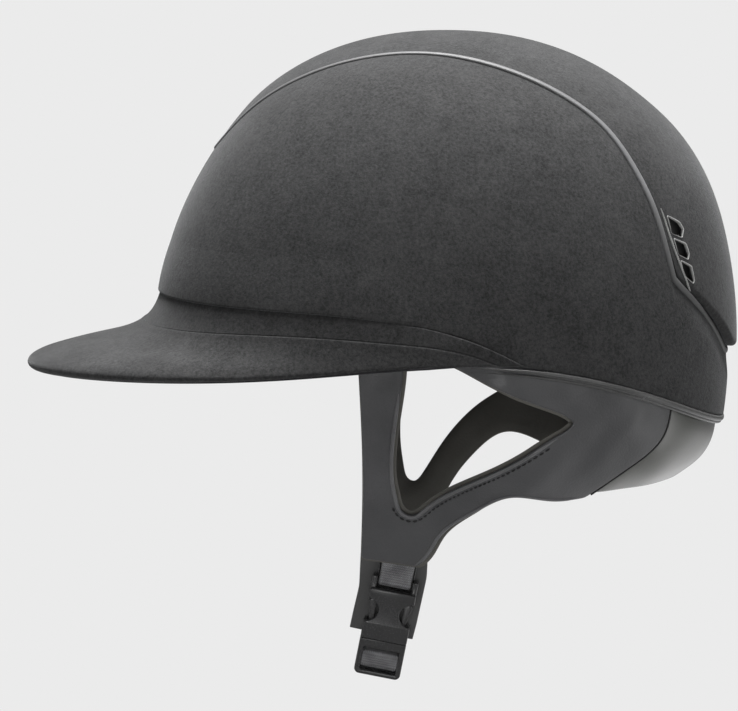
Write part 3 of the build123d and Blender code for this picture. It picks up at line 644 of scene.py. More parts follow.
def applied(piece):
    """Work a piece's modifiers into its mesh, which is returned."""
    shaped = piece.evaluated_get(bpy.context.evaluated_depsgraph_get())
    mesh = bpy.data.meshes.new_from_object(shaped)
    piece.modifiers.clear()
    piece.data = mesh
    return mesh


cutters, frames = [], []
for number, spots in enumerate(VENT_CORNERS):
    path = on_crown(rounded_loop(spots, 0.11, VENT_POINTS))
    centre = path.mean(axis=0)
    out = unit(centre / np.array([CROWN_REAR, CROWN_HALF_WIDTH, HEIGHT]) ** 2)
    hole = np.stack([path + out * depth for depth in np.linspace(VENT_CUT, -VENT_CUT, 4)])
    for side in (1, -1):
        walls = (hole * (1, side, 1)).transpose(1, 0, 2)
        cutters.append(surface(f"vent_tool_{number}", walls, closed=True, caps=True))
    # The frame is widest along its upper and inner sides, where the photo shows it lit.
    seen = np.clip((centre[1] - path[:, 1]) / 0.0030 + (path[:, 2] - centre[2]) / 0.008, -1, 1)
    profile = round_profile(FRAME_HALF, FRAME_PROUD, 0.0012, 12)
    frames.append(cord(f"vent_rim_{number}", path, np.tile(out, (VENT_POINTS, 1)), profile,
                       0.62 + 0.38 * seen, 0.00015, loop=True))
rib = on_crown(smooth_curve(VENT_LINE, RIB_POINTS))
thin = np.sin(np.linspace(0.03, np.pi - 0.03, RIB_POINTS)) ** 0.3
twist = 1 + 0.16 * np.sin(np.arange(RIB_POINTS) * 1.1)
profile = round_profile(FRAME_HALF, RIB_PROUD, 0.0010, 12)
frames.append(cord("vent_rib", rib, unit(rib), profile, thin * twist, 0.0002))

# The holes' walls get the second material slot, which becomes dark plastic.
cutter = join("vent_tools", cutters)
for tool in (crown, cutter):
    tool.data.materials.append(None)
    tool.data.materials.append(None)
second = np.ones(len(cutter.data.polygons), dtype=np.int32)
cutter.data.polygons.foreach_set("material_index", second)
cut = crown.modifiers.new("vents", "BOOLEAN")
cut.operation, cut.solver, cut.object = "DIFFERENCE", "EXACT", cutter
crown_mesh = applied(crown)
crown_mesh.materials.clear()
crown_mesh.set_sharp_from_angle(angle=math.radians(40))
bpy.data.objects.remove(cutter)
fit(crown, "root", "suede", SUEDE, "crown_panel")


def moulding(tree, scale):
    """Fine unevenness of moulded plastic: a shade about 0.5 and a height."""
    fine = noise(tree, scale, 4.0, 0.6)
    return sum_of(tree, (fine, 0.5), (noise(tree, 45.0, 3.0), 0.5)), fine


MOULDING = pattern("moulding", 300.0, moulding)


def plastic(name, dark, light, smooth, rough, grain=1200.0, relief=0.15):
    """Moulded plastic with uneven polish and a fine spark-eroded grain."""
    return patterned(name, MOULDING, grain, (0.35, dark, 0.65, light), (0.3, 0.7, smooth, rough),
                     (relief, 0.0002), Specular_IOR_Level=0.5)


VENT_SATIN = plastic("vent_satin", (0.26, 0.26, 0.255), (0.34, 0.34, 0.335), 0.28, 0.4)
DARK_PLASTIC = plastic("dark_plastic", 0.012, 0.02, 0.45, 0.6)


def dress(node, finish):
    """Give a carried CAD node a finish on all its material slots."""
    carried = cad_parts[node]
    if not carried.material_slots:
        carried.data.materials.append(finish)
    for entry in carried.material_slots:
        entry.material = finish


def node_mesh(name, node):
    """Bare copy of a CAD node's mesh."""
    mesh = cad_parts[node].data.copy()
    mesh.name = name
    mesh.materials.clear()
    return mesh


def settled_copy(name, node, slot, finish):
    """Copy of a CAD node that leans back with the shell, in place of the node."""
    mesh = node_mesh(name, node)
    points = np.empty(len(mesh.vertices) * 3)
    mesh.vertices.foreach_get("co", points)
    mesh.vertices.foreach_set("co", settle(points.reshape(-1, 3)).ravel())
    mesh.update()
    return fit(stand(name, mesh), "root", slot, finish, node)


left_frame = join("vent_surround_left", frames)
right_frame = mirror_y(left_frame, "vent_surround_right")
for side, piece in (("left", left_frame), ("right", right_frame)):
    fit(piece, "root", "vent_plastic", VENT_SATIN, f"vent_frame_{side}")
    dress(f"vent_mesh_{side}", DARK_PLASTIC)
crown.data.materials.append(DARK_PLASTIC)
settled_copy("moulded_shell", "outer_shell", "shell_plastic", DARK_PLASTIC)

# ------------------------------------------------------------------ crown piping
# Rolled satin piping sewn into the seam between the crown panel and the cover. It is thinnest
# over the brow, widest beside the vents, and tucks under the lip at the rear.

PIPING_HALF = 0.0016
PIPING_PROUD = 0.0010
PIPING_DEEP = 0.0014
PIPING_SINK = 0.0010
PIPING_SEAM = 0.0018

around, climb = crown_edge(PIPING_SEAM)
path = dome_point(around, climb)
out = unit(path - np.array([0, 0, 0.02]))
path = path - out * (PIPING_SINK * past(around, 2.3, 0.5))[:, None]
brow = 1 - past(around, 0.05, 0.5)
size = 0.80 + 0.25 * past(around, 1.2, 0.9) - 0.14 * brow
size = size * (1 - 0.3 * past(around, 2.45, 0.3))
profile = round_profile(PIPING_HALF, PIPING_PROUD, PIPING_DEEP, 18, 2.2)
piping = cord("crown_seam_roll", path, out, profile, size, loop=True)
PIPING = plastic("piping_satin", (0.115, 0.115, 0.118), (0.150, 0.150, 0.154), 0.48, 0.60, 700.0, 0.25)


def axis_of(tree, vector, axis):
    """One axis of a vector socket."""
    return put(tree, "SeparateXYZ", {0: vector}).outputs[axis]


# Painted highlight: the piping's colour is painted lightest at heights of 80 to 88 mm, where its rolled
# edge catches the light, and painted darker below and over the crown.
tree = PIPING.node_tree
base = tree.nodes["Principled BSDF"].inputs["Base Color"]
height = axis_of(tree, placed(tree), "Z")
painted_light_band = calc(tree, "MULTIPLY", span(tree, height, 0.040, 0.080), span(tree, height, 0.132, 0.088))
tone = {"Factor": painted_light_band, "A": (0.064, 0.064, 0.065, 1), "B": base.links[0].from_socket}
tree.links.new(put(tree, "Mix", tone, data_type="RGBA").outputs["Result"], base)
fit(piping, "root", "piping", PIPING, "crown_piping")

# ------------------------------------------------------------------ visor
# A stiff brim bonded outside the shell and wrapped in suede. Its top sweeps up to the shell,
# its edge is rolled round a soft nose, and the suede is turned under and sewn.

VISOR_REACH = 0.0614
VISOR_SIDE = 0.0030
VISOR_SKIN = 0.0018
VISOR_COLUMNS = 460
VISOR_MIDDLE = (0.03, 0, -0.05)
SEAM_GAP = 0.0006
NOSE_FRONT = 0.0042
NOSE_SIDE = 0.0013
NOSE_IN_FRONT = 0.0040
NOSE_IN_SIDE = 0.0011
VISOR_LEVELS = [(-0.014, 1.0, 1.0), (-0.0058, 0.995, 1.0), (-0.0035, 0.946, 1.0),
                (-0.0013, 0.847, 0.98), (0.0010, 0.705, 0.95), (0.0053, 0.394, 0.87),
                (0.0077, 0.272, 0.81), (0.0117, 0.145, 0.72), (0.0155, 0.075, 0.58),
                (0.020, 0.030, 0.35), (0.026, 0.0, 0.08), (0.036, -0.02, -0.4)]
sweep = smooth_curve([(z, reach * VISOR_REACH, side * VISOR_SIDE) for z, reach, side in VISOR_LEVELS],
                     600)


def visor_point(around, height, inward=0.0):
    """Point of the visor's swept form: the shell's own radius at that height plus the reach
    ahead and the small step at the sides, both read from the upright section."""
    ahead = np.interp(height, sweep[:, 0], sweep[:, 1])
    side = np.interp(height, sweep[:, 0], sweep[:, 2])
    share = level_share(np.clip(height, 0, None))
    front = FRONT * share + ahead - inward
    rear = REAR * share + side - inward
    across = HALF_WIDTH * share + side - inward
    return settle(np.stack([np.where(np.cos(around) > 0, front, rear) * np.cos(around),
                            across * np.sin(around), height + 0 * around], axis=-1))


edge_height = height_line([(0.2167, -0.0112), (0.1800, -0.0092), (0.1245, -0.0063), (0.0680, -0.0018),
                           (0.0203, 0.0030), (-0.0080, 0.0046), (-0.0430, 0.0042)])
band_low = height_line([(0.1967, 0.0135), (0.1250, 0.0138), (0.0680, 0.0162), (0.0210, 0.0146),
                        (-0.0070, 0.0110), (-0.0210, 0.0064), (-0.0285, 0.0030)])
band_high = height_line([(0.1967, 0.0262), (0.0920, 0.0270), (0.0210, 0.0237), (-0.0024, 0.0190),
                         (-0.0240, 0.0108), (-0.0345, 0.0052), (-0.0400, 0.0020)])


def settle_height(around, line, start):
    """Height at which the visor's form meets a side-view line, found by repeated steps."""
    height = np.full_like(around, start)
    for _ in range(12):
        height = 0.5 * height + 0.5 * line(visor_point(around, height)[..., 0])
    return height


def visor_turns(seam, start):
    """Turns from left to right, evenly spaced along the visor's edge, between the two places
    where a seam line runs down to it."""
    turn = np.linspace(1.2, 2.2, 400)
    gap = settle_height(turn, seam, start) - settle_height(turn, edge_height, 0.0)
    half_turn = turn[np.argmax(gap < SEAM_GAP)] if np.any(gap < SEAM_GAP) else turn[-1]
    turn = np.linspace(-half_turn, half_turn, 1600)
    run = running(visor_point(turn, settle_height(turn, edge_height, 0.0)))
    return np.interp(np.linspace(0, run[-1], VISOR_COLUMNS), run, turn)


def from_ends(count, fade):
    """Smooth change from 0 at both ends of a row to 1 a number of columns in."""
    return ease(np.minimum(np.arange(count), np.arange(count)[::-1]) / fade)


turns = visor_turns(band_low, 0.012)
edge = settle_height(turns, edge_height, 0.0)
top = settle_height(turns, band_low, 0.014)
forward = np.clip(np.cos(turns), 0, 1) ** 0.8
nose = NOSE_SIDE + (NOSE_FRONT - NOSE_SIDE) * forward
nose_in = NOSE_IN_SIDE + (NOSE_IN_FRONT - NOSE_IN_SIDE) * forward
nose = np.minimum(nose, np.maximum((top - edge) * 0.45, 0.0002))
height = top + np.linspace(0, 1, 70)[:, None] * (edge + nose - top)
upper = visor_point(turns + 0 * height, height)
angle = np.radians(np.linspace(6, 100, 16))[:, None]
height = edge + nose - nose * np.sin(angle)
lower = visor_point(turns + 0 * height, height, nose_in * (1 - np.cos(angle)))
face = np.concatenate([upper, lower], axis=0)
share, length = edge_lengths(face)
lift = 0.0002 * (1 - ease((share * length - 0.0005) / 0.004)) * from_ends(VISOR_COLUMNS, 30)
face = raised(face, lift, VISOR_MIDDLE)
VISOR_SUEDE = suede("visor_suede", (0.0145, 0.0145, 0.0147), (0.053, 0.053, 0.0536), 40.0)
visor_top = layer("visor_suede_top", face, VISOR_SKIN, 0.0008, VISOR_MIDDLE, rows=76)
fit(visor_top, "root", "suede", VISOR_SUEDE, "visor_cover_top")

# The under cover runs from the turned edge in to the shell, a little dished.
UNDER_END = 0.0022
UNDER_CUT = 12
start = face[-1]
end = dome_point(turns, rim_climb(turns, -UNDER_END), -0.0003)
in_share = np.linspace(0, 1, 40)[:, None, None]
under = start + (end - start) * in_share
under[..., 2] = start[:, 2] + (end[:, 2] - start[:, 2]) * in_share[..., 0] ** 1.5
under = under[:, UNDER_CUT:-UNDER_CUT]
SUEDE_UNDER = suede("suede_under", (0.014, 0.014, 0.015), (0.036, 0.036, 0.038), 60.0)
visor_under = layer("visor_suede_under", under, 0.0016, 0.0006, (0.05, 0, 0.12), rows=30)
fit(visor_under, "root", "suede_dark", SUEDE_UNDER, "visor_cover_under")


def tapered(count, first, steep, least, power=1.0):
    """Size along a cord that thins out to a least size at both ends."""
    arch = np.sin(np.linspace(first, np.pi - first, count))
    return np.clip(arch * steep, least, 1) ** power


# The turned edge is held by a flat sewn binding just inside the nose.
EDGE_POINTS = 420
path = even(under[2], EDGE_POINTS)
down = np.tile((0, 0, -1.0), (EDGE_POINTS, 1))
profile = round_profile(0.0017, 0.0007, 0.0009, 14, 2.6)
binding = cord("visor_turned_edge", path, down, profile, tapered(EDGE_POINTS, 0.02, 8, 0.05))
fit(binding, "root", "suede_dark", SUEDE_UNDER, "visor_edge_binding")
dress("visor_core", DARK_PLASTIC)

# The band is a strip of suede laid in the hollow between visor and shell.
turns = visor_turns(band_high, 0.02)
edge = settle_height(turns, edge_height, 0.0)
bottom = np.maximum(settle_height(turns, band_low, 0.014), edge + 0.0004)
seam = settle_height(turns, band_high, 0.024)
height = bottom + np.linspace(-0.02, 1, 40)[:, None] * (np.maximum(seam, bottom + 0.0003) - bottom)
face = visor_point(turns + 0 * height, height)
share, length = edge_lengths(face)
face = raised(face, 0.0002 * ease(share / 0.9) * from_ends(VISOR_COLUMNS, 24))
BAND_SUEDE = suede("band_suede", (0.012, 0.012, 0.0122), (0.044, 0.044, 0.0445), 44.0)
band = layer("visor_suede_band", face, 0.0015, 0.0007, (0.03, 0, 0), rows=34)
fit(band, "root", "suede", BAND_SUEDE, "visor_band")

# Over the band the cover's lower edge is turned round a cord, so it stands proud of the shell.
ROLL_PROUD = 0.0014
ROLL_FADE = 0.030
bottom = np.maximum(seam - 0.0004, edge + 0.0010)
height = bottom + np.linspace(0, 1, 70)[:, None] * (ROLL_FADE + 0.004)
face = dome_point(turns + 0 * height, climb_at(height))
share, length = edge_lengths(face)
proud = ROLL_PROUD * (1 - ease(share * length / ROLL_FADE)) * from_ends(VISOR_COLUMNS, 70)
cover_edge = layer("cover_edge_roll", raised(face, proud - 0.00012), 0.0016, 0.0010, rows=70)
fit(cover_edge, "root", "suede", SUEDE)

# ------------------------------------------------------------------ rim piping
# Gloss piping sewn round the rim from ear to ear behind, with its flat welt just below it.

TRIM_HALF = 0.00145
TRIM_FROM = 1.66
TRIM_BELOW = 0.0017
WELT_BELOW = 0.0036
TRIM_COLUMNS = 520
around = np.linspace(TRIM_FROM, 2 * np.pi - TRIM_FROM, TRIM_COLUMNS)
size = 0.12 + 0.88 * from_ends(TRIM_COLUMNS, 60)
climb = rim_climb(around, TRIM_BELOW)
path = dome_point(around, climb)
out = outward(np.stack([path, dome_point(around, climb + 0.02)]), (0, 0, 0))[0]
bead = cord("rim_bead", path, out, round_profile(TRIM_HALF, 0.0011, 0.0026, 18), size, -0.0006)
path = dome_point(around, rim_climb(around, WELT_BELOW), 0.0012)
welt = cord("rim_welt", path, out, round_profile(0.0009, 0.0008, 0.0016, 12), size)
TRIM_GLOSS = plastic("trim_gloss", 0.050, 0.075, 0.20, 0.30, 500.0, 0.1)
fit(join("rim_piping", [bead, welt]), "root", "trim", TRIM_GLOSS, "rim_trim")

# ------------------------------------------------------------------ harness
# Smooth leather cut as one Y on each side: a strap down from the temple and a wrap from the
# rim behind the ear meet above the chin. A thin lining shows past its edges.

LEATHER = 0.0016
LINING = 0.0010
HARNESS_MIDDLE = (0, 0, -0.04)
SIDES = (("left", 0.0), ("right", 1.0))
HARNESS_LEVELS = [(0.014, 0.1265, 0.0975, 0.0750), (0.0, 0.1280, 0.0990, 0.0750),
                  (-0.016, 0.1280, 0.0975, 0.0715), (-0.033, 0.1278, 0.0935, 0.0645),
                  (-0.050, 0.1208, 0.0850, 0.0550), (-0.062, 0.1070, 0.0760, 0.0465),
                  (-0.078, 0.0910, 0.0640, 0.0370), (-0.108, 0.0730, 0.0480, 0.0275)]
levels = smooth_curve(HARNESS_LEVELS, 300)[::-1]


def harness_reach(height, inset=0.0):
    """Rear reach, half width and temple half width of the harness form at a height."""
    return [np.interp(height, levels[:, 0], levels[:, k]) - inset for k in (1, 2, 3)]


def harness_point(ahead, height):
    """Point of the left harness: an ellipse in plan behind the ears that eases into a straight
    run at the temple half width."""
    rear, wide, temple = harness_reach(height)
    sweep_end = 0.027 + 0.4 * np.minimum(-height, 0.070)
    mix = ease((0.022 - ahead) / (0.022 + sweep_end))
    oval = wide * np.sqrt(np.clip(1 - (np.minimum(ahead, 0) / rear) ** 2, 0, None))
    return np.stack([ahead, temple + (oval - temple) * mix, height], axis=-1)


wrap_lift = height_line([(-0.0900, 0.0), (-0.0640, 0.0), (-0.0510, 0.0038), (-0.0300, 0.0075),
                         (-0.0140, 0.0095), (0.0020, 0.0055), (0.0130, 0.0005), (0.0200, 0.0),
                         (0.0500, 0.0)])


def lifted(flat, share):
    """Side-view points moved up where a wrap with no buckle on it bows towards the rim."""
    deep = ease((-flat[..., 1] - 0.0140) / 0.0200)
    return flat + np.stack([0 * deep, share * wrap_lift(flat[..., 0]) * deep], axis=-1)


def ear_edge(into):
    """Side view of the ear opening's edge, from the strap's top down, round the low end and back
    along the upper side to the rim. It is moved into the opening by a distance."""
    line = smooth_curve([(0.0185, 0.0120), (0.0187, -0.0030), (0.0208, -0.0220), (0.0230, -0.0420),
                         (0.0230, -0.0560), (0.0214, -0.0665), (0.0190, -0.0725), (0.0148, -0.0742),
                         (0.0098, -0.0708), (0.0030, -0.0645), (-0.0170, -0.0508), (-0.0370, -0.0378),
                         (-0.0510, -0.0288), (-0.0565, -0.0252), (-0.0577, -0.0234),
                         (-0.0556, -0.0208), (-0.0470, -0.0165), (-0.0290, -0.0091),
                         (-0.0160, -0.0031), (-0.0060, 0.0016), (0.0020, 0.0046)], 1200)
    return shifted(line, -into)


def softly(line, times):
    """Open line whose inner points are averaged with their neighbours a number of times."""
    for _ in range(times):
        line[1:-1] = (line[:-2] + 2 * line[1:-1] + line[2:]) / 4
    return line


def outer_edge(margin):
    """Side view of the harness's outer edge: the strap's front, the hem, the lower edge, the
    nape seam and the hidden edge under the rim. The margin shows along the hem and lower edge."""
    m = margin
    front = smooth_curve([(0.0390 + 0.3 * m, 0.0120), (0.0376 + 0.3 * m, -0.0200),
                          (0.0371 + 0.3 * m, -0.0450), (0.0376 + 0.3 * m, -0.0720),
                          (0.0386 + 0.3 * m, -0.0965 - m)])
    lower = smooth_curve([(0.0125 - m, -0.1004 - m), (0.0078 - m, -0.0955 - 0.8 * m),
                          (0.0020 - m, -0.0850 - 0.4 * m), (-0.0140, -0.0703 - m),
                          (-0.0300, -0.0605 - m), (-0.0510, -0.0625 - m), (-0.0642 - m, -0.0617 - m)])
    seam = smooth_curve([(-0.0642 - m, -0.0617 - m), (-0.0842 - m, -0.0473 - 0.3 * m),
                         (-0.0997 - m, -0.0333 - 0.3 * m), (-0.1032 - m, -0.0190)])
    ahead = np.linspace(-0.1032 - m, 0.0020, 200)
    upper = np.stack([ahead, rim_height(ahead) - 0.0006], axis=1)
    return softly(even(np.vstack([front, lower, seam, upper]), 1500), 26)


def between_keys(line, keys, counts):
    """Line resampled so that the point nearest to each key falls on a set column."""
    spots = [int(np.argmin(np.hypot(*(line - np.array(key)).T))) for key in keys]
    ends = [0, *spots, len(line) - 1]
    parts = [even(line[a:b + 1], n + 1)[:-1] for a, b, n in zip(ends[:-1], ends[1:], counts)]
    return np.vstack([*parts, line[-1:]])


def on_harness(flat):
    """Points of the left harness at side-view points, and its outward normals there, which come
    from small steps along the form."""
    ahead, height = flat[..., 0], flat[..., 1]
    step = 2e-4
    forward = harness_point(ahead + step, height) - harness_point(ahead - step, height)
    upward = harness_point(ahead, height + step) - harness_point(ahead, height - step)
    normal = np.cross(forward, upward)
    return harness_point(ahead, height), unit(normal * np.sign(normal[..., 1:2]))


RUNS = [150, 40, 60, 24, 150, 60, 150]
EAR_KEYS = [(0.0236, -0.0600), (0.0180, -0.0733), (0.0110, -0.0718), (0.0030, -0.0645),
            (-0.0558, -0.0256), (-0.0560, -0.0212)]
OUTER_KEYS = [(0.0376, -0.0700), (0.0386, -0.0960), (0.0108, -0.1005), (0.0035, -0.0860),
              (-0.0640, -0.0605), (-0.1028, -0.0200)]


def harness_face(margin, inset, rows=26, lift=0.0):
    """Grid of one harness below its surface, and its normals: columns follow the ear opening,
    and rows run from the opening to the outer edge."""
    ear = between_keys(ear_edge(margin), EAR_KEYS, RUNS)
    outer = between_keys(outer_edge(margin), OUTER_KEYS, RUNS)
    share = np.linspace(0, 1, rows)[:, None, None]
    point, normal = on_harness(lifted(ear + (outer - ear) * share, lift))
    return point - inset * normal, normal


def folds(points, depth):
    """Soft unevenness of hand-pulled leather: a few crossing waves of 2 to 5 cm."""
    x, y, z = (points[..., k] for k in range(3))
    wave = np.sin(210 * x + 95 * z + 40 * y) + 0.7 * np.sin(130 * z - 260 * x + 1.3)
    return depth * (wave + 0.5 * np.sin(340 * x + 310 * z + 0.6)) / 2.2


def grain(tree, scale):
    """Fine pebbled leather: rounded cells with creases between them, and slow shade changes."""
    bent = put(tree, "TexNoise", {"Vector": placed(tree), "Scale": 240.0, "Detail": 2.0})
    pull = put(tree, "VectorMath", {0: bent.outputs["Color"], "Scale": 0.0012},
               operation="SCALE")
    moved = put(tree, "VectorMath", {0: placed(tree), 1: pull.outputs[0]}, operation="ADD")
    pebbles = cells(tree, scale, "SMOOTH_F1", place=moved.outputs[0])["Distance"]
    broad, pores = noise(tree, 26.0, 5.0, 0.55), noise(tree, 1500.0, 2.0)
    return (sum_of(tree, (broad, 0.8), (pores, 0.2)),
            sum_of(tree, (pebbles, -0.7), (pores, 0.35), (broad, 1.2)))


GRAIN = pattern("leather_grain", 1100.0, grain)


def leather(name, dark, light, smooth, rough, scale=1100.0, relief=0.25, **finish):
    """Leather or coated fabric with pebbled grain and uneven polish."""
    return patterned(name, GRAIN, scale, (0.3, dark, 0.7, light), (0.3, 0.7, smooth, rough),
                     (relief, 0.0004), **finish)


# A lighter copy of the satin leather for the rolled edges: a painted highlight that stands for the
# light the rolls catch.
LEATHER_HIGHLIGHT = leather("leather_painted_highlight", (0.085, 0.085, 0.088), (0.135, 0.135, 0.140), 0.26, 0.38,
                       relief=0.2, Specular_IOR_Level=0.5)
LEATHER_SATIN = leather("leather_satin", (0.052, 0.052, 0.0545), (0.084, 0.084, 0.0875), 0.28, 0.42,
                        Specular_IOR_Level=0.5)
LEATHER_LINING = leather("leather_lining", (0.080, 0.077, 0.069), (0.118, 0.114, 0.104), 0.6, 0.75,
                         800.0, 0.3, Specular_IOR_Level=0.25)


def stretch(line, begins, ends):
    """Part of a line from the first point where one test holds to the first where another does."""
    return line[np.argmax(begins):np.argmax(ends)]


BINDING_HALF = 0.0009
EDGE_HALF = 0.0007
ROLL_POINTS = 420
for side, lift in SIDES:
    face, normal = harness_face(0.0, 0.0, lift=lift)
    edge_fade = ease(np.minimum(np.linspace(0, 1, len(face)), np.linspace(1, 0, len(face))) / 0.3)
    face = face + normal * (folds(face, 0.0005) * edge_fade[:, None])[..., None]
    skin = layer(f"harness_leather_{side}", face, LEATHER, 0.0007, HARNESS_MIDDLE, rows=34)
    face, normal = harness_face(0.0014, LEATHER + 0.0002, 14, lift)
    backing = layer(f"harness_backing_{side}", face, LINING, 0.0004, HARNESS_MIDDLE, rows=18)

    # The ear opening's edge is rolled over a cord, and the lower edge is folded over a finer one.
    x, z = (edge := ear_edge(-BINDING_HALF)).T
    ear = stretch(edge, z < -0.012, (x < -0.050) & (z > -0.030))
    x, z = (edge := outer_edge(-EDGE_HALF - 0.0002)).T
    low = stretch(edge, (x < 0.014) & (z < -0.050), (x < -0.062) & (z < -0.050))
    rolls = []
    for line, half, proud in ((ear, BINDING_HALF, 0.0008), (low, EDGE_HALF, 0.0005)):
        path, out = on_harness(lifted(even(line, ROLL_POINTS), lift))
        profile = round_profile(half, proud, 0.0006, 18, 2.2)
        rolls.append(cord("roll", path, out, profile, tapered(ROLL_POINTS, 0.015, 5, 0.1, 0.7)))
    rolled = join(f"ear_roll_{side}", rolls)
    fit(on_side(skin, side), "root", "leather", LEATHER_SATIN, f"harness_{side}")
    fit(on_side(backing, side), "root", "lining", LEATHER_LINING, f"harness_lining_{side}")
    # The rolls wear the lighter leather, which paints their highlight.
    fit(on_side(rolled, side), "root", "leather", LEATHER_HIGHLIGHT, f"ear_binding_{side}")


STITCH_STEP = 0.0032
STITCH_LENGTH = 0.0027
THREAD_RADIUS = 0.00048


def stitches(name, path, out):
    """Row of sewn stitches: each is a thread that rises out of the face and dips back into it."""
    run = running(path)
    share = np.linspace(0, 1, 9)
    number = np.arange(int(run[-1] // STITCH_STEP))[:, None]
    at = (number + 0.5) * STITCH_STEP + (share - 0.5) * STITCH_LENGTH
    middle, rise = read_line(path, run, at), read_line(out, run, at)
    side = unit(np.cross(np.gradient(middle, axis=1), rise))
    height = THREAD_RADIUS * (1.1 * np.sin(np.pi * share) - 0.45)
    middle = middle + rise * height[None, :, None]
    angle = np.linspace(0, 2 * np.pi, 8, endpoint=False)[:, None]
    size = THREAD_RADIUS * np.sin(np.pi * share) ** 0.5
    points = (middle[:, None] + side[:, None] * (np.cos(angle) * size)[None, ..., None]
              + rise[:, None] * (np.sin(angle) * size)[None, ..., None])
    index = np.arange(points[..., 0].size).reshape(points.shape[:3])
    index = np.concatenate([index, index[:, :1]], axis=1)
    quads = np.stack([index[:, :-1, :-1], index[:, :-1, 1:], index[:, 1:, 1:], index[:, 1:, :-1]],
                     axis=-1)
    mesh = bpy.data.meshes.new(name)
    mesh.from_pydata(points.reshape(-1, 3).tolist(), [], quads.reshape(-1, 4).tolist())
    mesh.uv_layers.new(name="lengths")
    weld(mesh, 2e-6)
    mesh.shade_smooth()
    return stand(name, mesh)


# Twisted sewing thread: fine bands of shade and relief along Object coordinates.
parts = material("dark_thread", Roughness=0.5, Specular_IOR_Level=0.4)
twist = noise(parts[1], 2600.0, 2.0)
THREAD = painted(parts, (twist, 0.35, 0.014, 0.65, 0.026), None, (twist, 0.5, 0.0001))

x, z = (edge := ear_edge(-0.0031)).T
sewn_line = even(stretch(edge, z < -0.070, (x < -0.049) & (z > -0.040)), 400)
x, z = (edge := outer_edge(0.0003)).T
seam_shade_line = stretch(edge, (x < -0.0668) & (z < -0.030), (x < -0.0990) & (z > -0.0215))
for side, lift in SIDES:
    sewn = stitches(f"ear_stitches_{side}", *on_harness(lifted(sewn_line, lift)))
    fit(on_side(sewn, side), "root", "leather", THREAD)

    # The wrap's rear edge is turned in over the nape pad, and a welt of dark thread closes the seam.
    # Its dark colour is partly painted shade, standing for the shade that lies in the seam's gap.
    welt = cord(f"nape_welt_{side}", *on_harness(even(seam_shade_line, 240)),
                round_profile(0.00042, 0.0002, 0.0006, 12))
    fit(on_side(welt, side), "root", "leather", THREAD)

# The rivets are satin metal, with fine unevenness.
RIVET_METAL = patterned("rivet_metal", MOULDING, 300.0, (0.3, 0.44, 0.7, 0.55), (0, 1, 0.22, 0.38),
                        (0.1, 0.0001), Metallic=1.0)
dress("harness_rivet_left", RIVET_METAL)
dress("harness_rivet_right", RIVET_METAL)

# ------------------------------------------------------------------ nape pad
# Two padded panels of smooth coated fabric close the harness behind the head. They meet the
# leather at a sewn seam and leave a narrow stretch gusset between them.

NAPE_THICKNESS = 0.0054
NAPE_DROP = 0.0600
NAPE_PLUMP = 0.0013
NAPE_MIDDLE = (0, 0, -0.02)
GUSSET_HALF = 0.0070

seam = smooth_curve([(-0.0643, -0.0603), (-0.0843, -0.0473), (-0.0998, -0.0333), (-0.1033, -0.0193),
                     (-0.1033, 0.0100)])
seam = seam[np.argsort(seam[:, 1])]
rows_share = np.linspace(0, 1, 44)[:, None]
columns_share = np.linspace(0, 1, 150)[None, :]
height = -NAPE_DROP + rows_share * NAPE_DROP / 2 + 0 * columns_share
for _ in range(8):
    rear, wide, _ = harness_reach(height)
    front_turn = np.arccos(np.clip(-np.interp(height, seam[:, 1], seam[:, 0]) / rear, -1, 1))
    rear_turn = np.arcsin(GUSSET_HALF / wide)
    turn = front_turn + (rear_turn - front_turn) * columns_share
    behind = -rear * np.cos(turn)
    top = rim_height(behind) - 0.0008
    height = -NAPE_DROP + rows_share * (top + NAPE_DROP)
face = np.stack([behind, wide * np.sin(turn), height], axis=-1)
crown_shape = np.minimum(rows_share, 1 - rows_share) * 2
plump = NAPE_PLUMP * (1 - (1 - crown_shape) ** 2.4) * (1 - np.abs(2 * columns_share - 1) ** 4)
face = raised(face, plump - 0.0004 + folds(face, 0.0003), NAPE_MIDDLE)
left = layer("nape_cushion_left", face, NAPE_THICKNESS, 0.0020, NAPE_MIDDLE, rows=52)
right = mirror_y(left, "nape_cushion_right")
COATED = leather("coated_fabric", (0.048, 0.049, 0.042), (0.068, 0.069, 0.062), 0.30, 0.42, 1500.0, 0.1,
                 Specular_IOR_Level=0.6, Coat_Weight=1.0, Coat_Roughness=0.26, Coat_IOR=1.5)
for side, piece in (("left", left), ("right", right)):
    fit(piece, "root", "leather_gloss", COATED, f"nape_pad_{side}")


def knit(name, dark, light, pitch, relief):
    """Close knit of fine rounded loops on Object coordinates."""
    parts = material(name, Sheen_Weight=0.25, Sheen_Roughness=0.4, Specular_IOR_Level=0.2)
    tree = parts[1]
    loops = cells(tree, 1 / pitch, spread=0.25)["Distance"]
    shade = sum_of(tree, (loops, 0.7), (noise(tree, 60.0, 4.0), 0.6))
    return painted(parts, (shade, 0.35, light, 0.95, dark), (loops, 0, 1, 0.75, 0.95),
                   (calc(tree, "SUBTRACT", 1.0, loops), relief, pitch * 0.4))


STRETCH = knit("stretch_knit", 0.010, 0.030, 0.0009, 0.6)
STRETCH_HALF = 0.0067
across = np.linspace(-STRETCH_HALF, STRETCH_HALF, 24)[None, :]
height = np.linspace(-0.052, -0.0345, 30)[:, None] + 0 * across
rear, wide, _ = harness_reach(height, 0.0015)
hollow = 0.0012 * (1 - (across / STRETCH_HALF) ** 2)
behind = -(rear - hollow) * np.sqrt(1 - (across / wide) ** 2)
face = np.stack([behind, across + 0 * height, height], axis=-1)
gusset = layer("nape_stretch", face, 0.0014, 0.0005, NAPE_MIDDLE, rows=24)
fit(gusset, "root", "lining", STRETCH, "nape_gusset")

# ------------------------------------------------------------------ buckle
# Side-release buckle of moulded plastic. The socket hangs from the left harness on webbing,
# and its tongue, two springy prongs and ladder slots are one loose half.

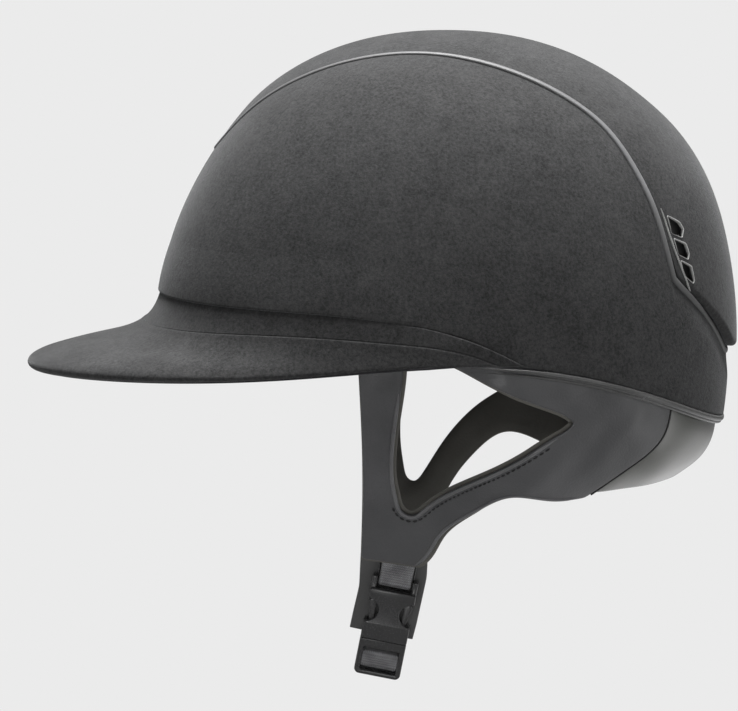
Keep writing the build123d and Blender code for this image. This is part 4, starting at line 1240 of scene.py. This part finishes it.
ORIGIN = np.array([0.0284, 0.0220, -0.1367])
TILT, LEAN = math.radians(11), math.radians(6.5)
UP = np.array([-math.sin(TILT) * math.cos(LEAN), math.sin(LEAN), math.cos(TILT) * math.cos(LEAN)])
OUT = np.array([math.sin(TILT) * math.sin(LEAN), math.cos(LEAN), -math.cos(TILT) * math.sin(LEAN)])
ACROSS = np.cross(UP, OUT)


def moulded(name, node, width):
    """Copy of a CAD node with its triangles merged and its sharp edges rounded."""
    mesh = node_mesh(name, node)
    weld(mesh, 2e-6, flat=math.radians(1.5))
    piece = stand(name, mesh)
    rounding = piece.modifiers.new("rounding", "BEVEL")
    rounding.width, rounding.segments, rounding.limit_method = width, 3, "ANGLE"
    rounding.angle_limit, rounding.harden_normals = math.radians(32), False
    rounding.use_clamp_overlap = False
    done = applied(piece)
    done.name = name
    done.materials.clear()
    done.shade_smooth()
    done.set_sharp_from_angle(angle=math.radians(42))
    return piece


BUCKLE_PLASTIC = plastic("buckle_plastic", (0.034, 0.034, 0.0345), (0.050, 0.050, 0.051), 0.20, 0.32,
                         1600.0, 0.15)
for name, node, width, body in (("buckle_body", "buckle_socket", 0.0008, "root"),
                                ("buckle_insert", "buckle_tongue", 0.0008, "tongue"),
                                ("prong_ahead", "prong_front", 0.0004, "prong_front_body"),
                                ("prong_behind", "prong_rear", 0.0004, "prong_rear_body")):
    fit(moulded(name, node, width), body, "buckle_plastic", BUCKLE_PLASTIC, node)

# ------------------------------------------------------------------ webbing
# Flat woven webbing: a sewn loop that carries the socket, a turn round the tongue's ladder
# bar and the length that runs under the chin to the right harness.

WEBBING_HALF = 0.0080
EYE_HALF = 0.0077
LADDER_HALF = 0.0088
WEBBING = 0.0014


def in_buckle(points):
    """Points given as (along, depth) in the buckle's own axes, in millimetres, in space."""
    points = np.asarray(points, float) / 1000
    return ORIGIN + points[:, :1] * UP + points[:, 1:2] * OUT


def softened(points, softness, count):
    """Open line with rounded corners."""
    points = np.asarray(points, float)
    inner = [corner(*trio, softness, 10) for trio in zip(points[:-2], points[1:-1], points[2:])]
    return even(np.vstack([points[:1], *inner, points[-1:]]), count)


def strap(name, path, broad, half_width):
    """Flat webbing along a path, with rounded edges. broad is the direction across its width."""
    out = unit(np.cross(np.broadcast_to(broad, path.shape), np.gradient(path, axis=0)))
    flat = np.linspace(-1, 1, 24)
    bow = 0.5 * WEBBING * np.clip(1 - np.abs(flat) ** 14, 0, None) ** 0.5
    upper = np.stack([flat * half_width, bow], axis=1)
    profile = np.vstack([upper, upper[-2:0:-1] * (1, -1)])
    return cord(name, path, out, profile)


def weave(tree, pitch):
    """Woven webbing on a UV map in metres: ribs across, warp threads along, and slow fading."""
    flat = put(tree, "UVMap", uv_map="lengths").outputs[0]
    waves = []
    for axis, ratio in (("X", 1.0), ("Y", 1.25)):
        turns = calc(tree, "DIVIDE", axis_of(tree, flat, axis), pitch)
        waves.append(calc(tree, "SINE", calc(tree, "MULTIPLY", turns, ratio * 2 * math.pi)))
    crossing = calc(tree, "MULTIPLY", *waves)
    broad, fuzz = noise(tree, 120.0, 4.0), noise(tree, 2200.0, 2.0)
    return (sum_of(tree, (crossing, 0.16), (waves[0], 0.08), (broad, 0.6), (fuzz, 0.4)),
            sum_of(tree, (crossing, 0.5), (waves[0], 0.35), (fuzz, 0.3)))


WEAVE_PITCH = 0.0011
WOVEN = pattern("woven", WEAVE_PITCH, weave)
WEBBING_CLOTH = patterned("webbing_weave", WOVEN, WEAVE_PITCH,
                          (0.3, (0.060, 0.060, 0.063), 0.75, (0.270, 0.270, 0.280)),
                          (0, 1, 0.6, 0.85), (0.5, 0.0002),
                          Sheen_Weight=0.2, Sheen_Roughness=0.4, Specular_IOR_Level=0.3)

# The loop goes round the socket's bar, and the turn round the ladder's.
BAR_RADIUS = 2.05
turn = [(28.6 + BAR_RADIUS * math.cos(a), -1.5 + BAR_RADIUS * math.sin(a))
        for a in np.radians(np.linspace(80, 280, 15))]
path = in_buckle([(43.0, -0.5), (36.0, -0.2), (31.5, 0.3), *turn, (31.5, -3.2), (36.0, -2.5),
                  (43.0, -1.9)])
eye = strap("webbing_eye", even(path, 160), ACROSS, EYE_HALF)
fit(eye, "root", "webbing", WEBBING_CLOTH, "webbing_loop")

path = in_buckle(softened([(-16.6, -3.3), (-5.9, -3.2), (-6.9, 2.05), (-13.25, 2.05), (-13.4, -2.2)],
                          0.2, 260))
ladder = strap("webbing_turn", path, ACROSS, LADDER_HALF)
fit(ladder, "tongue", "webbing", WEBBING_CLOTH, "ladder_webbing")

chin_from = in_buckle([(-13.25, -4.0)])[0]
chin_to = np.array([0.0230, -0.0255, -0.0950])
chord = chin_to - chin_from
run = np.linalg.norm(chord)
along = chord / run
broad = unit(np.array([1.0, 0, 0]) - along * along[0])
bow = np.cross(broad, along)
route = np.array([(0, 0), (0.04, 0.13), (0.30, 0.24), (0.65, 0.16), (1, 0)]) * run
route = chin_from + route[:, :1] * along + route[:, 1:] * bow
chin = strap("chin_strap", softened(route, 0.45, 260), broad, WEBBING_HALF)
fit(chin, "tongue", "webbing", WEBBING_CLOTH, "chin_webbing")
chin.parent = None
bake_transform(chin)

# ------------------------------------------------------------------ buckle guard
# A soft leather flap sewn inside the hem keeps the buckle off the skin. It hangs behind the
# buckle, wider than it, and its front edge turns where the harness ends.

line = smooth_curve([(62, 3.9), (54, 2.4), (48, -2.2), (42, -4.6), (30, -5.2), (14, -5.2),
                     (1.0, -5.0)], 90)
front = softly(np.interp(line[:, 0], [1, 8, 22, 40, 48, 62],
                         [-16.7, -16.6, -16.1, -18.7, -15.0, -10.0]), 6)
rear = softly(np.interp(line[:, 0], [1, 8, 32, 40, 48, 62], [13.6, 14.0, 14.3, 13.2, 11.0, 8.0]), 6)
share = np.linspace(0, 1, 40)[:, None]
wide = (front + (rear - front) * share) / 1000
sag = 0.0006 * np.sin(np.pi * share) * np.cos(line[:, 0] / 9)[None]
point = in_buckle(line)[None] + wide[..., None] * ACROSS + sag[..., None] * OUT
flap = layer("guard_flap", point, 0.0016, 0.0006, ORIGIN - 0.1 * OUT, rows=44)
GUARD_LEATHER = leather("guard_leather", 0.066, 0.098, 0.42, 0.56, Specular_IOR_Level=0.35)
fit(flap, "root", "leather", GUARD_LEATHER, "buckle_guard")

# ------------------------------------------------------------------ inside
# Black expanded-foam liner bonded in the shell, with knitted comfort pads at the brow, the
# sides, the rear and the crown. The crown pad is held on hook dots.

PAD_IN = 0.02945
BAND_TOP = 0.0385


def foam_beads(scale):
    """Moulded beads of expanded foam: flattened cells with dark lines between them."""
    parts = material("foam_beads", Specular_IOR_Level=0.3)
    tree = parts[1]
    grey = put(tree, "SeparateColor", {0: cells(tree, scale)["Color"]}).outputs[0]
    ridge = span(tree, cells(tree, scale, "DISTANCE_TO_EDGE")["Distance"], 0, 0.12)
    return painted(parts, (grey, 0, 0.012, 1, 0.028), (grey, 0, 1, 0.5, 0.75), (ridge, 0.5, 0.0004))


settled_copy("foam_shell", "foam_liner", "foam", foam_beads(290.0))
HOOK = knit("hook_fabric", 0.006, 0.03, 0.0007, 0.9)
settled_copy("hook_spots", "hook_dots", "comfort", HOOK)
COMFORT = knit("comfort_knit", (0.014, 0.014, 0.015), (0.042, 0.042, 0.044), 0.0017, 0.7)

PAD_VOXEL = 0.0022
PAD_PRESSURE = 4.0
SWELL_STEPS = 20


def swell(piece, cap):
    """Pad blown up like stuffed fabric: remeshed, swollen as cloth and held within a cap."""
    sizes = piece.modifiers.new("voxels", "REMESH")
    sizes.mode, sizes.voxel_size = "VOXEL", PAD_VOXEL
    mesh = applied(piece)
    rest = np.empty(len(mesh.vertices) * 3)
    mesh.vertices.foreach_get("co", rest)
    cloth = piece.modifiers.new("swell", "CLOTH")
    cloth.settings.use_pressure = True
    cloth.settings.uniform_pressure_force = PAD_PRESSURE
    cloth.settings.effector_weights.gravity = 0
    cloth.settings.quality = 4
    cloth.point_cache.frame_start, cloth.point_cache.frame_end = 1, SWELL_STEPS
    for step in range(SWELL_STEPS):
        bpy.context.scene.frame_set(step + 1)
    mesh = applied(piece)
    moved = np.empty_like(rest)
    mesh.vertices.foreach_get("co", moved)
    shift = (moved - rest).reshape(-1, 3)
    size = np.linalg.norm(shift, axis=1, keepdims=True)
    shift *= np.minimum(1, cap / np.maximum(size, 1e-9))
    mesh.vertices.foreach_set("co", (rest.reshape(-1, 3) + shift).ravel())
    mesh.update()
    finer = piece.modifiers.new("finer", "SUBSURF")
    finer.levels = finer.render_levels = 1
    applied(piece).shade_smooth()
    bpy.context.scene.frame_set(1)


def stuffed(piece, body, node, cap):
    swell(piece, cap)
    fit(piece, body, "comfort", COMFORT, node)


def comfort_pad(name, grid, centre, node):
    """Pad whose face is a grid that looks at the head; centre lies behind its back."""
    stuffed(layer(name, grid, 0.0040, 0.0016, centre, rows=30), "root", node, 0.0009)


def band_face(from_turn, to_turn, columns):
    """Face of a headband pad between two turns, from above the rim up to the band's top."""
    turn = np.linspace(from_turn, to_turn, columns)[None, :]
    low = rim_height(dome_point(turn, 0 * turn, PAD_IN)[..., 0]) + 0.004
    height = low + np.linspace(0, 1, 16)[:, None] * (BAND_TOP - low)
    return dome_point(turn + 0 * height, climb_at(height), PAD_IN - 0.0008)


# How far ahead or behind each band pad ends.
BROW_END, REAR_END, SIDE_FRONT, SIDE_REAR = 0.044, 0.080, 0.0135, 0.074
front_turn = math.acos(BROW_END / (FRONT - PAD_IN))
comfort_pad("brow_comfort", band_face(-front_turn, front_turn, 90), (0.6, 0, 0), "brow_pad")
rear_turn = math.acos(REAR_END / (REAR - PAD_IN))
rear_band = band_face(math.pi - rear_turn, math.pi + rear_turn, 80)
comfort_pad("rear_comfort", rear_band, (-0.6, 0, 0), "rear_pad")
side_from = math.acos(SIDE_FRONT / (FRONT - PAD_IN))
side_to = math.pi - math.acos(SIDE_REAR / (REAR - PAD_IN))
for side, sign in (("left", 1), ("right", -1)):
    comfort_pad(f"side_comfort_{side}", band_face(sign * side_from, sign * side_to, 70),
                (0, 0.6 * sign, 0), f"side_pad_{side}")

PAD_LENGTH = 0.090
PAD_WIDTH = 0.064
PAD_FULL = 0.97
PAD_TOP_IN = 0.0254
PAD_CURVE_IN = 0.0299
PAD_PLUMP = 0.0048
ring = np.linspace(0, 2 * np.pi, 96, endpoint=False)[None, :]
reach = np.linspace(1, 0, 24)[:, None]
ahead = PAD_FULL * PAD_LENGTH / 2 * reach * np.cos(ring)
across = PAD_FULL * PAD_WIDTH / 2 * reach * np.sin(ring)
share = np.hypot(ahead / (FRONT - PAD_CURVE_IN), across / (HALF_WIDTH - PAD_CURVE_IN))
top = (HEIGHT - PAD_TOP_IN) * (1 - share ** ROUND) ** (1 / ROUND) - 0.0004
plump = PAD_PLUMP * (1 - reach ** 6) ** 0.5
upper = np.stack([ahead, across, top + 0 * ring], axis=-1)
lower = np.stack([ahead, across, top - plump], axis=-1)
grid = settle(np.vstack([upper[::-1], lower]))
stuffed(surface("crown_comfort", grid, around=True), "crown_pad_body", "crown_pad", 0.0008)

# ------------------------------------------------------------------ floor, light and camera
# Plain pale floor and soft studio light from above and ahead.

FLOOR_AT = -0.32
FLOOR_HALF = 30
mesh = bpy.data.meshes.new("floor")
mesh.from_pydata([(x * FLOOR_HALF, y * FLOOR_HALF, FLOOR_AT)
                  for x, y in ((-1, -1), (1, -1), (1, 1), (-1, 1))], [], [(0, 1, 2, 3)])
floor = stand("floor", mesh)
made, tree, shader = material("pale_floor")
tree.nodes.remove(shader)

# The camera sees an even pale floor, the pieces are lit by a darker one, and glossy pieces
# mirror a bright patch behind the helmet. From below the floor isn't there.
matte = put(tree, "BsdfDiffuse", {"Color": (0.30, 0.30, 0.30, 1)})
glow = put(tree, "Emission", {"Color": (0.831, 0.831, 0.831, 1), "Strength": 1.0})
depth = put(tree, "VectorMath", {0: placed(tree), 1: (0.6, 1.0, 0.0)},
            operation="DOT_PRODUCT").outputs["Value"]
away = put(tree, "VectorMath", {0: placed(tree)}, operation="LENGTH").outputs["Value"]
patch = calc(tree, "MULTIPLY", span(tree, depth, 0.02, -0.30), span(tree, away, 1.4, 0.55))
shine = span(tree, patch, 0, 1, 0.22, 1.0)
mirrored = put(tree, "Emission", {"Color": (1, 1, 1, 1), "Strength": shine})
clear = put(tree, "BsdfTransparent")
shown = matte
for test, kind, other in (("Is Glossy Ray", "LightPath", mirrored),
                          ("Is Camera Ray", "LightPath", glow),
                          ("Backfacing", "NewGeometry", clear)):
    chosen = put(tree, kind).outputs[test]
    shown = put(tree, "MixShader", {0: chosen, 1: shown.outputs[0], 2: other.outputs[0]})
tree.links.new(shown.outputs[0], tree.nodes["Material Output"].inputs["Surface"])
mesh.materials.append(made)
floor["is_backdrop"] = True

world = bpy.data.worlds.new("studio")
bpy.context.scene.world = world
world.use_nodes = True
tree = world.node_tree
room = tree.nodes["Background"]
room.inputs["Color"].default_value = (0.8, 0.8, 0.8, 1)
to_left = axis_of(tree, put(tree, "TexCoord").outputs["Generated"], "Y")
path_kind = put(tree, "LightPath").outputs
side_glow = span(tree, to_left, 0.1, -0.5, 0.17, 0.6)
lit = put(tree, "Mix", {"Factor": path_kind["Is Glossy Ray"], "A": 0.17, "B": side_glow}).outputs[0]
shown = put(tree, "Mix", {"Factor": path_kind["Is Camera Ray"], "A": lit, "B": 1.039})
tree.links.new(shown.outputs[0], room.inputs["Strength"])


def panel_light(name, place, target, width, height, power):
    """Soft rectangular light aimed at a point."""
    data = bpy.data.lights.new(name, "AREA")
    data.shape, data.size, data.size_y, data.energy = "RECTANGLE", width, height, power
    lamp = stand(name, data)
    lamp.location = place
    lamp.rotation_euler = (Vector(target) - Vector(place)).to_track_quat("-Z", "Y").to_euler()


panel_light("overhead", (-0.04, -0.10, 1.6), (0.0, 0.0, 0.05), 1.3, 1.0, 106)
panel_light("front_fill", (0.15, 1.7, 0.45), (0.03, 0.0, 0.0), 1.0, 0.8, 2.5)
panel_light("rear_high", (-1.2, 0.5, 1.1), (-0.08, 0.0, 0.05), 0.8, 0.8, 2)
panel_light("rear_low", (-1.0, 1.0, -0.1), (-0.08, 0.0, -0.05), 0.8, 0.5, 1.5)
panel_light("low_fill", (0.15, 1.45, -0.12), (0.0, 0.0, -0.08), 0.5, 0.25, 2.8)
panel_light("strip_front", (0.50, 0.12, -0.14), (0.03, 0.06, -0.14), 0.12, 0.3, 0.15)
panel_light("strip_rear", (-0.55, 0.16, -0.16), (0.0, 0.06, -0.14), 0.12, 0.3, 0.15)

AZIMUTH, ELEVATION, DISTANCE = math.radians(181.5), math.radians(8.0), 1.6
TARGET = Vector((0.0358, 0.0, -0.005))
back = Vector((math.sin(AZIMUTH) * math.cos(ELEVATION), -math.cos(AZIMUTH) * math.cos(ELEVATION),
               math.sin(ELEVATION)))
camera_data = bpy.data.cameras.new("camera")
camera_data.lens, camera_data.sensor_width = 165.5, 36
camera_data.clip_start, camera_data.clip_end = 0.05, 100
camera = stand("camera", camera_data)
camera.location = TARGET + back * DISTANCE
camera.rotation_mode = "QUATERNION"
camera.rotation_quaternion = (-back).to_track_quat("-Z", "Y")
bpy.context.scene.camera = camera
bpy.context.scene.view_settings.view_transform = "Standard"

low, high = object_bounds()
